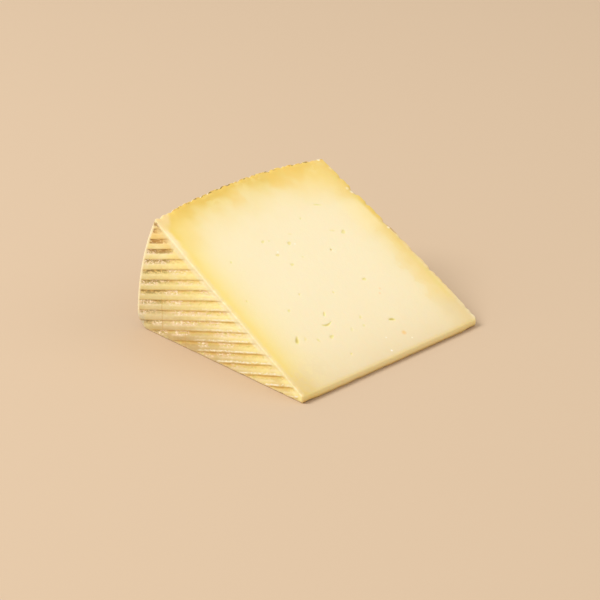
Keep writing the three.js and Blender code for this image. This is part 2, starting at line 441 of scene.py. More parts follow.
@dataclass
class Shell:
    """Patches of the wedge's surface, gathered until they are welded into one mesh."""

    points: list[np.ndarray] = field(default_factory=list)
    eyes: list[np.ndarray] = field(default_factory=list)
    triangles: list[np.ndarray] = field(default_factory=list)
    parts: list[np.ndarray] = field(default_factory=list)
    count: int = 0

    # Points of two patches that are closer than this, in millimetres, are one
    WELD_GAP = 1e-4

    def add(
        self,
        points: np.ndarray,
        triangles: np.ndarray,
        part: Part,
        eyes: np.ndarray | None = None,
    ) -> None:
        """Adds one patch.

        Args:
            points: Its points, in millimetres.
            triangles: Three point numbers for each triangle.
            part: The surface that it is.
            eyes: How much of an eye's inside each point is, from 0 to 1.
        """
        self.points.append(points)
        self.eyes.append(np.zeros(len(points)) if eyes is None else eyes)
        self.triangles.append(triangles + self.count)
        self.parts.append(np.full(len(triangles), part.value))
        self.count += len(points)

    def add_grid(self, rows: np.ndarray, part: Part) -> None:
        """Adds a patch whose points lie in rows and columns.

        Args:
            rows: The points, as an array (rows, columns, 3).
            part: The surface that it is.
        """
        height, width = rows.shape[:2]
        at = np.arange(height * width).reshape(height, width)
        a, b = at[:-1, :-1].ravel(), at[:-1, 1:].ravel()
        c, d = at[1:, 1:].ravel(), at[1:, :-1].ravel()
        triangles = np.concatenate([np.stack([a, b, c], 1), np.stack([a, c, d], 1)])
        self.add(rows.reshape(-1, 3), triangles, part)

    def welded(self, name: str) -> bpy.types.Mesh:
        """Welds the patches into one closed mesh whose faces point outwards.

        Args:
            name: The mesh's name.

        Returns:
            The mesh, with each face's surface and each point's share of an eye.
        """
        mesh = bpy.data.meshes.new(name)
        triangles = np.concatenate(self.triangles)
        mesh.from_pydata(np.concatenate(self.points).tolist(), [], triangles.tolist())
        eye = mesh.attributes.new("eye", "FLOAT", "POINT")
        eye.data.foreach_set("value", np.concatenate(self.eyes).astype(np.float32))
        part = mesh.attributes.new("part", "INT", "FACE")
        part.data.foreach_set("value", np.concatenate(self.parts).astype(np.int32))
        work = bmesh.new()
        work.from_mesh(mesh)
        bmesh.ops.remove_doubles(work, verts=work.verts, dist=self.WELD_GAP)
        bmesh.ops.recalc_face_normals(work, faces=work.faces)
        work.to_mesh(mesh)
        work.free()
        mesh.shade_smooth()
        return mesh


def fill_outline(outline: np.ndarray, inside: np.ndarray, rings: list[list[int]]) -> np.ndarray:
    """Triangulates a flat patch.

    Args:
        outline: The patch's outline, as points in order.
        inside: Loose points inside it.
        rings: Closed rings of point numbers whose edges stay.

    Returns:
        Three point numbers for each triangle, the outline's points first.
    """
    points = np.concatenate([outline, inside])
    edges = [(ring[i - 1], ring[i]) for ring in rings for i in range(len(ring))]
    flat = [Vector(p) for p in points]
    inside_only, same_point = 1, 1e-7
    border = [list(range(len(outline)))]
    _, _, faces, origins, *_ = delaunay_2d_cdt(flat, edges, border, inside_only, same_point)
    source = np.array([numbers[0] for numbers in origins])
    return source[np.array([list(face) for face in faces])]


@dataclass(frozen=True)
class BoardPrint:
    """The print of a cheese board: parallel ribs, each sharp below, over a wide groove.

    The direction is the ribs' own in the plane of y and z. A lip is the sharp lower edge of a
    rib, and the first one's distance across the ribs is from the axis. Inward is the way
    along x that the print is pressed. The margins keep the print clear of the rim and of the
    upper cut, and it frays and narrows beside that cut.
    """

    part: Part
    distance_name: str
    direction: float
    first_lip: float
    inward: float
    rim_margin: float
    left_at_cut: float
    cut_margin: float
    fray: float
    narrowing: float
    seed: float
    pitch: float = 4.11
    corner: float = 42.0
    depth: float = 0.3
    lip_width: float = 0.7
    waver: float = 0.2
    uneven: float = 0.45
    grain: float = 0.16
    sink: float = 5.0

    # The part of the pitch below a lip, and how deep the groove is there
    PROFILE = (
        (0.0, 0.26),
        (0.03, 0.56),
        (0.07, 0.86),
        (0.11, 1.0),
        (0.16, 0.92),
        (0.22, 0.74),
        (0.29, 0.6),
        (0.38, 0.52),
        (0.47, 0.42),
        (0.54, 0.22),
        (0.61, 0.06),
        (0.72, 0.0),
        (0.86, 0.02),
        (0.94, 0.1),
    )

    def frame_axes(self) -> tuple[np.ndarray, np.ndarray]:
        """Returns the directions along and across the ribs, in the plane of y and z."""
        run, rise = math.cos(self.direction), math.sin(self.direction)
        return np.array([run, rise]), np.array([-rise, run])

    def lattice(self, span: float, step: float) -> np.ndarray:
        """Returns points on the ribs' own lines, over a square of twice the span.

        Args:
            span: How far the points reach to all sides.
            step: How far apart they are along a rib.

        Returns:
            The points (y, z).
        """
        along, across = self.frame_axes()
        first = math.floor((-span - self.first_lip) / self.pitch)
        last = math.ceil((span - self.first_lip) / self.pitch)
        lips = self.first_lip + self.pitch * np.arange(first, last + 1)
        parts = np.array([part for part, _ in self.PROFILE])
        d = (lips[:, None] - parts[None, :] * self.pitch).ravel()
        s = np.arange(-span, span, step)
        grid_d, grid_s = np.meshgrid(d, s, indexing="ij")
        return grid_s.ravel()[:, None] * along + grid_d.ravel()[:, None] * across


@dataclass(frozen=True)
class WornEdge:
    """An edge of the wedge worn round, with chips.

    The round's radius strays by up to the uneven amount, in swells about as long as the grain.
    """

    first: Part
    second: Part
    radius: float
    uneven: float = 0.0
    grain: float = 2.0
    seed: float = 0.0
    # Place along the edge, length and extra radius of each chip
    chips: tuple[tuple[float, float, float], ...] = ()

    TABLE_END = 110.0
    TABLE_STEP = 0.1
    LEAST_RADIUS = 0.02

    def radii(self, place: np.ndarray) -> np.ndarray:
        """Works out the radius that the edge is worn to.

        Args:
            place: Places along the edge.

        Returns:
            The round's radius at each.
        """
        table = np.arange(0, self.TABLE_END, self.TABLE_STEP)
        waves = [noise.noise(Vector((t / self.grain, self.seed, 0.0))) for t in table]
        radius = self.radius + self.uneven * np.interp(place, table, waves)
        for at, length, extra in self.chips:
            radius = radius + extra * np.exp(-(((place - at) / length) ** 4))
        return np.maximum(radius, self.LEAST_RADIUS)


# Worn edges, those between a cut and a flat face by distance from the axis, others along it
WORN_EDGES = (
    WornEdge(Part.UPPER_CUT, Part.NEAR_FACE, 0.45, 1.3, 3.0, 1.0,
             chips=((48.5, 1.6, 0.7), (25.0, 2.4, 0.6), (76.0, 3.0, 0.4), (12.0, 3.0, 0.8))),
    WornEdge(Part.UPPER_CUT, Part.SIDE, 0.7, 2.2, 2.1, 2.0,
             chips=((6.0, 4.0, 0.6), (21.0, 0.7, 1.1), (30.0, 0.6, 1.1), (63.0, 0.8, 0.9),
                    (92.5, 3.5, -1.2))),
    WornEdge(Part.UPPER_CUT, Part.FAR_FACE, 0.5, 2.0, 2.8, 3.0,
             chips=((81.5, 2.2, 1.9), (89.5, 1.0, 1.0), (73.5, 1.1, 1.0), (68.0, 0.9, 0.8),
                    (61.5, 2.2, 1.2), (53.0, 1.4, 0.8), (44.5, 2.6, 0.8), (33.0, 3.0, 0.7),
                    (101.0, 5.0, -2.0))),
    WornEdge(Part.UPPER_CUT, Part.TIP, 3.6, 1.2, 5.0, 4.0,
             chips=((0.0, 9.0, 1.6), (96.0, 8.0, 1.4))),
    WornEdge(Part.LOWER_CUT, Part.SIDE, 1.0, 0.4, 3.0, 5.0, chips=((0.0, 14.0, 7.0),)),
    WornEdge(Part.LOWER_CUT, Part.NEAR_FACE, 0.7, 0.3, 3.0, 6.0),
    WornEdge(Part.LOWER_CUT, Part.FAR_FACE, 0.7, 0.3, 3.0, 7.0),
)


@dataclass
class WedgeBody:
    """The clean body of the wedge: two cuts, the nose and the rind, with soft edges and eyes."""

    wheel: Wheel
    nose: Nose
    near: BoardPrint
    far: BoardPrint
    eyes: dict[Part, tuple[Eye, ...]]
    worn: tuple[WornEdge, ...]
    rib_steps: dict[Part, float]
    # The round between a cut and the rind, and its rows of points
    edge_round: float = 0.5
    edge_rows: int = 3
    round_steps: int = 6
    # How far apart the points are on each surface, and how far loose ones keep from an edge
    side_step: float = 0.55
    face_step: float = 0.55
    cut_step: float = 1.25
    nose_step: float = 0.32
    clear: float = 0.32
    # The depth that counts as inside an eye, the loose points' distance from an eye as a
    # share of its size, and the seed of the eyes' outlines
    eye_depth: float = 0.32
    eye_reach: float = 1.45
    eye_seed: int = 5
    # The upper cut's slight hollows: depth, size, and where they start and are full
    swell: float = 0.1
    swell_size: float = 16.0
    swell_start: float = 1.0
    swell_reach: float = 6.0
    swell_level: float = 0.5

    @property
    def cuts(self) -> dict[Part, tuple[float, np.ndarray]]:
        """Works out how both cuts lie.

        Returns:
            Each cut's turn round the axis and its inward normal.
        """
        rise, run = math.sin(self.nose.angle), math.cos(self.nose.angle)
        return {
            Part.LOWER_CUT: (0.0, np.array([0.0, 0.0, 1.0])),
            Part.UPPER_CUT: (self.nose.angle, np.array([0.0, rise, -run])),
        }

    def place(
        self, x: np.ndarray | float, radius: np.ndarray | float, turn: np.ndarray | float
    ) -> np.ndarray:
        """Returns the points at x, a radius and a turn round the axis."""
        x, radius, turn = np.broadcast_arrays(x, radius, turn)
        return np.stack([x, radius * np.cos(turn), radius * np.sin(turn)], axis=-1)

    def skin(
        self,
        x: np.ndarray | float,
        radius: np.ndarray | float,
        turn: np.ndarray | float,
        normal: np.ndarray,
    ) -> np.ndarray:
        """Places points of the rind or nose, and softens them towards both cuts.

        Args:
            x: Each point's place along the axis.
            radius: Its distance from the axis.
            turn: Its turn from the lower cut.
            normal: Its inward normal.

        Returns:
            The points.
        """
        flat = self.place(x, radius, turn).reshape(-1, 3)
        own = np.broadcast_to(normal, flat.shape)
        points = flat
        for _, cut_normal in self.cuts.values():
            gap = flat @ cut_normal
            normals = own, np.broadcast_to(cut_normal, flat.shape)
            moved = soften(flat, normals, (np.zeros(len(flat)), gap), self.edge_round)
            points = np.where((gap < self.edge_round)[:, None], moved, points)
        return points

    def rim_section(self) -> tuple[np.ndarray, np.ndarray, np.ndarray]:
        """Follows the rind from the near face over both rims and the side to the far face.

        Returns:
            Each point's x, its radius and its inward normal as (x, radius).
        """
        wheel = self.wheel
        phi = np.linspace(0, math.pi / 2, self.round_steps + 1)
        side = spaced(wheel.near_round, wheel.side_end, self.side_step)
        slope = wheel.side_slope(side)
        x = np.concatenate([
            wheel.near_round * (1 - np.cos(phi[:-1])),
            side,
            wheel.side_end + wheel.far_round * np.sin(phi[1:]),
        ])
        radius = np.concatenate([
            wheel.near_edge + wheel.near_round * np.sin(phi[:-1]),
            wheel.side_radius(side),
            wheel.far_edge + wheel.far_round * np.cos(phi[1:]),
        ])
        normal = np.concatenate([
            np.stack([np.cos(phi[:-1]), -np.sin(phi[:-1])], axis=1),
            unit(np.stack([slope, -np.ones(len(side))], axis=1)),
            np.stack([-np.sin(phi[1:]), -np.cos(phi[1:])], axis=1),
        ])
        return x, radius, normal

    def nose_section(self, turn: float) -> tuple[np.ndarray, np.ndarray, np.ndarray]:
        """Follows the nose from the near face to the far one.

        Args:
            turn: The turn from the lower cut.

        Returns:
            Each point's x, its radius and its inward normal.
        """
        nose, foot = self.nose, float(self.nose.radius(turn))
        phi = np.linspace(0, math.pi / 2, self.round_steps + 1)
        far_x = float(self.wheel.far_height(foot + nose.far_round))
        centre = far_x - nose.far_round
        straight = spaced(nose.near_round, centre, self.face_step)[1:-1]
        x = np.concatenate([
            nose.near_round * (1 - np.cos(phi)), straight, centre + nose.far_round * np.sin(phi)
        ])
        radius = np.concatenate([
            foot + nose.near_round * (1 - np.sin(phi)),
            np.full(len(straight), foot),
            foot + nose.far_round * (1 - np.cos(phi)),
        ])
        inward = nose.normal(np.array([turn]))
        axis = np.concatenate([np.cos(phi), np.zeros(len(straight)), -np.sin(phi)])
        along = np.concatenate([np.sin(phi), np.ones(len(straight)), np.cos(phi)])
        normal = axis[:, None] * np.array([[1.0, 0.0, 0.0]]) + along[:, None] * inward
        return x, radius, normal

    def far_normal(self, radius: np.ndarray, turn: np.ndarray | float) -> np.ndarray:
        """Returns the inward normal of the domed far face."""
        slope = 2 * self.wheel.far_sag * radius / self.wheel.rim_radius**2
        return unit(-self.place(np.ones(len(radius)), slope, turn))

    def rim_turns(self) -> np.ndarray:
        """Returns the turns of the side's columns, with close ones beside both cuts."""
        return self.turns(self.wheel.rim_radius, self.side_step)

    def nose_turns(self) -> np.ndarray:
        """Returns the turns of the nose's columns, with close ones beside both cuts."""
        return self.turns(self.nose.foot, self.nose_step)

    def turns(self, radius: float, step: float) -> np.ndarray:
        """Returns turns from the lower to the upper cut.

        Args:
            radius: The distance from the axis at which they are spaced.
            step: How far apart they are there.

        Returns:
            The turns, close together beside both cuts.
        """
        edge = self.edge_round * np.arange(self.edge_rows) / self.edge_rows / radius
        inner = self.edge_round / radius
        middle = spaced(inner, self.nose.angle - inner, step / radius)
        return np.concatenate([edge, middle, self.nose.angle - edge[::-1]])

    def add_side(self, shell: Shell) -> None:
        """Adds the bellied side with both rims.

        Args:
            shell: Takes the patch.
        """
        x, radius, section = self.rim_section()
        rows = []
        for turn in self.rim_turns():
            normal = self.place(section[:, 0], section[:, 1], turn)
            rows.append(self.skin(x, radius, turn, normal))
        shell.add_grid(np.stack(rows), Part.SIDE)

    def add_nose(self, shell: Shell) -> None:
        """Adds the blunt tip.

        Args:
            shell: Takes the patch.
        """
        rows = []
        for turn in self.nose_turns():
            x, radius, normal = self.nose_section(turn)
            rows.append(self.skin(x, radius, turn, normal))
        shell.add_grid(np.stack(rows), Part.TIP)

    def face_point(
        self, board: BoardPrint, radius: np.ndarray, turn: np.ndarray | float
    ) -> np.ndarray:
        """Places points of a flat face, and softens them towards both cuts.

        Args:
            board: The print that the face takes.
            radius: Each point's distance from the axis.
            turn: Its turn from the lower cut.

        Returns:
            The points.
        """
        if board.part is Part.NEAR_FACE:
            return self.skin(0.0, radius, turn, np.array([1.0, 0.0, 0.0]))
        return self.skin(self.wheel.far_height(radius), radius, turn, self.far_normal(radius, turn))

    def edge_radii(self, board: BoardPrint, turn: float) -> np.ndarray:
        """Spaces a flat face's points along a cut, its two ends left out.

        Args:
            board: The print that the face takes.
            turn: The cut's turn round the axis.

        Returns:
            The points' distances from the axis.
        """
        start = float(self.nose.radius(turn)) + self.foot_round(board)
        near = board.part is Part.NEAR_FACE
        end = self.wheel.near_edge if near else self.wheel.far_edge
        return spaced(start, end, self.face_step)[1:-1]

    def foot_round(self, board: BoardPrint) -> float:
        """Returns the radius of the round between the nose and a flat face."""
        return self.nose.near_round if board.part is Part.NEAR_FACE else self.nose.far_round

    def add_face(self, shell: Shell, board: BoardPrint) -> None:
        """Adds one flat face, its points on the lines of the ribs to come.

        Args:
            shell: Takes the patch.
            board: The print that the face takes.
        """
        end = 0 if board.part is Part.NEAR_FACE else -1
        rim_x, rim_r, rim_n = (values[end] for values in self.rim_section())
        rim = self.rim_turns()
        rim_points = self.skin(rim_x, rim_r, rim, self.place(*rim_n, rim))
        foot, foot_points = self.nose_turns(), []
        for turn in foot:
            foot_x, foot_r, foot_n = (values[end] for values in self.nose_section(turn))
            foot_points.append(self.skin(foot_x, foot_r, turn, foot_n)[0])
        foot_r = self.nose.radius(foot) + self.foot_round(board)
        # The outline runs out along the lower cut, up the rim, back in, and down the nose
        low, high = self.edge_radii(board, 0.0), self.edge_radii(board, self.nose.angle)
        radius = np.concatenate([low, np.full(len(rim), rim_r), high[::-1], foot_r[::-1]])
        turn = np.concatenate([
            np.zeros(len(low)), rim, np.full(len(high), self.nose.angle), foot[::-1]
        ])
        edge = self.face_point(board, radius, turn)
        edge[len(low) : len(low) + len(rim)] = rim_points
        edge[-len(foot) :] = np.array(foot_points)[::-1]
        outline = self.place(0.0, radius, turn)[:, 1:]
        yz = self.face_inside(board, rim_r)
        points = self.face_point(board, np.hypot(*yz.T), np.arctan2(yz[:, 1], yz[:, 0]))
        triangles = fill_outline(outline, yz, [])
        shell.add(np.concatenate([edge, points]), triangles, board.part)

    def face_inside(self, board: BoardPrint, rim: float) -> np.ndarray:
        """Spaces the points inside a flat face.

        Args:
            board: The print that the face takes.
            rim: The radius at which the face ends.

        Returns:
            The points (y, z).
        """
        rows = []
        for turn, sense in ((0.0, 1), (self.nose.angle, -1)):
            radii = self.edge_radii(board, turn)
            radii = radii[(radii > radii[0] + self.clear) & (radii < rim - self.clear)]
            for row in range(1, self.edge_rows + 1):
                gap = self.edge_round * row / self.edge_rows
                turns = turn + sense * np.arcsin(gap / radii)
                rows.append(self.place(0.0, radii, turns)[:, 1:])
        lattice = board.lattice(self.wheel.belly_radius, self.rib_steps[board.part])
        radius, turn = np.hypot(*lattice.T), np.arctan2(lattice[:, 1], lattice[:, 0])
        edge = self.edge_round + self.clear
        inside = (radius * np.sin(turn) > edge) & (radius < rim - self.clear)
        inside &= radius * np.sin(self.nose.angle - turn) > edge
        inside &= (turn > 0) & (turn < self.nose.angle)
        inside &= radius > self.nose.radius(turn) + self.foot_round(board) + self.clear
        return np.concatenate([*rows, lattice[inside]])

    def depth_inside(self, x: np.ndarray, radius: np.ndarray, turn: float) -> np.ndarray:
        """Measures how far points of a cut lie inside its outline.

        Args:
            x: Each point's place along the axis.
            radius: Its distance from the axis.
            turn: The cut's turn round the axis.

        Returns:
            The distances.
        """
        near, far = x, self.wheel.far_height(radius) - x
        side, foot = self.wheel.side_radius(x) - radius, radius - self.nose.radius(turn)
        corners = (
            (near, foot, self.nose.near_round),
            (far, foot, self.nose.far_round),
            (near, side, self.wheel.near_round),
            (far, side, self.wheel.far_round),
        )
        depth = np.minimum.reduce([near, far, side, foot])
        for a, b, size in corners:
            corner = (a < size) & (b < size)
            depth = np.where(corner, size - np.hypot(size - a, size - b), depth)
        return depth

    def cut_outline(self, turn: float) -> tuple[np.ndarray, np.ndarray]:
        """Follows a cut's outline over the far rim, the far face, the nose and the near face.

        Args:
            turn: The cut's turn round the axis.

        Returns:
            The outline's points (x, radius), and their inward normals.
        """
        rim_x, rim_r, rim_n = self.rim_section()
        foot_x, foot_r, foot_n = self.nose_section(turn)
        near, far = self.edge_radii(self.near, turn), self.edge_radii(self.far, turn)[::-1]
        x = np.concatenate([rim_x, self.wheel.far_height(far), foot_x[::-1], np.zeros(len(near))])
        radius = np.concatenate([rim_r, far, foot_r[::-1], near])
        normal = np.concatenate([
            self.place(rim_n[:, 0], rim_n[:, 1], turn),
            self.far_normal(far, turn),
            foot_n[::-1],
            np.tile([1.0, 0.0, 0.0], (len(near), 1)),
        ])
        return np.stack([x, radius], axis=1), normal

    def add_cut(self, shell: Shell, part: Part) -> None:
        """Adds one cut with its eyes.

        Args:
            shell: Takes the patch.
            part: The cut.
        """
        turn, own = self.cuts[part]
        outline, normal = self.cut_outline(turn)
        radial = np.array([0.0, math.cos(turn), math.sin(turn)])
        flat_normal = np.stack([normal[:, 0], normal @ radial], axis=1)
        steep = np.linalg.norm(flat_normal, axis=1)
        edge, rows, row_points = self.skin(*outline.T, turn, normal), [], []
        for row in range(1, self.edge_rows + 1):
            gap = self.edge_round * row / self.edge_rows
            flat = outline + gap * unit(flat_normal)
            solid = self.place(flat[:, 0], flat[:, 1], turn)
            rows.append(flat)
            gaps = np.zeros(len(flat)), gap * steep
            normals = np.tile(own, (len(flat), 1)), normal
            row_points.append(soften(solid, normals, gaps, self.edge_round))
        grid, before = self.cut_grid(turn, part), len(outline) + sum(map(len, rows))
        places, pressed, rings = self.cut_eyes(part, before + len(grid))
        flat = np.concatenate([grid, places])
        pressed = np.concatenate([np.zeros(len(grid)), pressed])
        eyes = np.concatenate([np.zeros(before), np.clip(pressed / self.eye_depth, 0, 1)])
        solid = self.place(flat[:, 0], flat[:, 1], turn)
        if part is Part.UPPER_CUT:
            inside = self.depth_inside(*flat.T, turn) - self.swell_start
            fade = np.clip(inside / self.swell_reach, 0, 1)
            waves = np.array([noise.noise(Vector(p) / self.swell_size) for p in solid])
            pressed = pressed + self.swell * fade * (waves + self.swell_level)
        solid = solid + pressed[:, None] * own
        triangles = fill_outline(outline, np.concatenate([*rows, flat]), rings)
        shell.add(np.concatenate([edge, *row_points, solid]), triangles, part, eyes)

    def cut_eyes(self, part: Part, start: int) -> tuple[np.ndarray, np.ndarray, list[list[int]]]:
        """Works out the rings of a cut's eyes.

        Args:
            part: The cut.
            start: The number of the first ring's first point in the patch.

        Returns:
            The rings' points (x, radius), how deep each is pressed, and the numbers of each
            ring's points.
        """
        rng = np.random.default_rng(part.value + self.eye_seed)
        places, depths, rings = [], [], []
        for eye in self.eyes[part]:
            ring_places, ring_depths, count = eye.rings(rng)
            places.append(ring_places)
            depths.append(ring_depths)
            end = start + len(ring_places)
            rings += [list(range(first, first + count)) for first in range(start, end, count)]
            start = end
        return np.concatenate(places), np.concatenate(depths), rings

    def cut_grid(self, turn: float, part: Part) -> np.ndarray:
        """Spaces points evenly inside a cut, clear of its eyes.

        Args:
            turn: The cut's turn round the axis.
            part: The cut.

        Returns:
            The points (x, radius).
        """
        step, span = self.cut_step, self.wheel.belly_radius
        # Rows this far apart, each moved by half a step, make even triangles
        rows = np.arange(0, span, step * math.sqrt(0.75))
        columns = np.arange(0, span, step)
        radius, x = np.meshgrid(rows, columns, indexing="ij")
        x = x + step / 2 * (np.arange(len(rows)) % 2)[:, None]
        grid = np.stack([x.ravel(), radius.ravel()], axis=1)
        grid = grid[self.depth_inside(*grid.T, turn) > self.edge_round + step / 2]
        for eye in self.eyes[part]:
            local = eye.local(grid)
            reach = self.eye_reach + step / np.array([eye.length, eye.width])
            grid = grid[np.hypot(*(local / reach).T) > 1]
        return grid

    def build(self, name: str) -> bpy.types.Object:
        """Builds the clean wedge in millimetres round the wheel's axis, and wears its edges.

        Args:
            name: The object's name.

        Returns:
            The wedge as one object, with each point's distance inside each surface.
        """
        shell = Shell()
        self.add_side(shell)
        self.add_nose(shell)
        for board in (self.near, self.far):
            self.add_face(shell, board)
        for part in self.cuts:
            self.add_cut(shell, part)
        mesh = shell.welded(name)
        points = np.empty(len(mesh.vertices) * 3)
        mesh.vertices.foreach_get("co", points)
        points = self.wear(points.reshape(-1, 3))
        mesh.vertices.foreach_set("co", points.ravel())
        for surface, (gap, _) in self.surfaces(points).items():
            distance = mesh.attributes.new(DISTANCES[surface], "FLOAT", "POINT")
            distance.data.foreach_set("value", gap.astype(np.float32))
        piece = bpy.data.objects.new(name, mesh)
        bpy.context.scene.collection.objects.link(piece)
        return piece

    def surfaces(self, points: np.ndarray) -> dict[Part, tuple[np.ndarray, np.ndarray]]:
        """Measures points against every surface of the wedge.

        Args:
            points: Points on the wedge.

        Returns:
            How far inside each surface each point is, and the surface's inward normal there.
        """
        x, radius = points[:, 0], np.hypot(points[:, 1], points[:, 2])
        turn = np.arctan2(points[:, 2], points[:, 1])
        wheel, count = self.wheel, len(points)
        near = np.tile([1.0, 0.0, 0.0], (count, 1))
        side = unit(self.place(wheel.side_slope(x), -np.ones(count), turn))
        found = {
            Part.NEAR_FACE: (x, near),
            Part.FAR_FACE: (wheel.far_height(radius) - x, self.far_normal(radius, turn)),
            Part.SIDE: (wheel.side_radius(x) - radius, side),
            Part.TIP: (radius - self.nose.radius(turn), self.nose.normal(turn)),
        }
        for part, (_, normal) in self.cuts.items():
            found[part] = points @ normal, np.tile(normal, (count, 1))
        return found

    def wear(self, points: np.ndarray) -> np.ndarray:
        """Wears the edges round.

        Args:
            points: The body's points.

        Returns:
            The points, moved where an edge is worn.
        """
        for edge in self.worn:
            surfaces = self.surfaces(points)
            gaps, normals = zip(surfaces[edge.first], surfaces[edge.second])
            ends = edge.second in (Part.NEAR_FACE, Part.FAR_FACE)
            place = np.hypot(points[:, 1], points[:, 2]) if ends else points[:, 0]
            points = soften(points, normals, gaps, edge.radii(place))
        return points


class PressTree:
    """A Geometry Nodes tree that presses a print into the rind and dresses what it pressed."""

    SOCKETS = {"float": "NodeSocketFloat", "str": "NodeSocketString", "Part": "NodeSocketInt"}

    def __init__(self, name: str, sizes: type) -> None:
        """Starts the tree with one named input for each size, and builds it.

        Args:
            name: The tree's name.
            sizes: The dataclass that holds the print's sizes.
        """
        self.tree = bpy.data.node_groups.new(name, "GeometryNodeTree")
        socket = self.tree.interface.new_socket
        socket("Geometry", in_out="OUTPUT", socket_type="NodeSocketGeometry")
        socket("Geometry", in_out="INPUT", socket_type="NodeSocketGeometry")
        socket("rind", in_out="INPUT", socket_type="NodeSocketMaterial")
        for size in fields(sizes):
            socket(size.name, in_out="INPUT", socket_type=self.SOCKETS[size.type])
        self.given = add_node(self.tree, "NodeGroupInput").outputs
        self.build()

    def build(self) -> None:
        """Builds the tree's nodes."""
        raise NotImplementedError

    def attach(self, piece: bpy.types.Object, sizes: object, rind: bpy.types.Material) -> None:
        """Puts the tree on a piece as a modifier.

        Args:
            piece: The piece that takes the print.
            sizes: The print's sizes.
            rind: The finish of the part that takes the print.
        """
        modifier = piece.modifiers.new(self.tree.name, "NODES")
        modifier.node_group = self.tree
        for item in self.tree.interface.items_tree:
            if item.in_out == "INPUT" and hasattr(sizes, item.name):
                value = getattr(sizes, item.name)
                modifier[item.identifier] = value.value if isinstance(value, Part) else value
            elif item.name == "rind":
                modifier[item.identifier] = rind

    def press(self, inward: Socket, stored: dict[str, Socket], chosen: Socket) -> None:
        """Ends the tree: stores what the finish reads, presses, and dresses the part.

        Args:
            inward: How far each point moves, as a vector.
            stored: Values for the finish by attribute name, kept where the print lies.
            chosen: Where the print lies.
        """
        node = partial(add_node, self.tree)
        geometry = self.given["Geometry"]
        for name, value in stored.items():
            kind = "FLOAT_VECTOR" if value.type == "VECTOR" else "FLOAT"
            inputs = {"Geometry": geometry, "Selection": chosen, "Name": name, "Value": value}
            geometry = node(STORE, {"data_type": kind, "domain": "POINT"}, inputs).outputs[0]
        geometry = node(
            "GeometryNodeSetPosition", None, {"Geometry": geometry, "Offset": inward}
        ).outputs[0]
        real = node("GeometryNodeRealizeInstances", None, {0: geometry}).outputs[0]
        part = node(ATTRIBUTE, {"data_type": "INT"}, {"Name": "part"}).outputs[0]
        taken = node(
            COMPARE, {"data_type": "INT", "operation": "EQUAL"}, {2: part, 3: self.given["part"]}
        ).outputs[0]
        dressed = node(
            "GeometryNodeSetMaterial",
            None,
            {"Geometry": real, "Selection": taken, "Material": self.given["rind"]},
        ).outputs[0]
        node("NodeGroupOutput", None, {0: dressed})


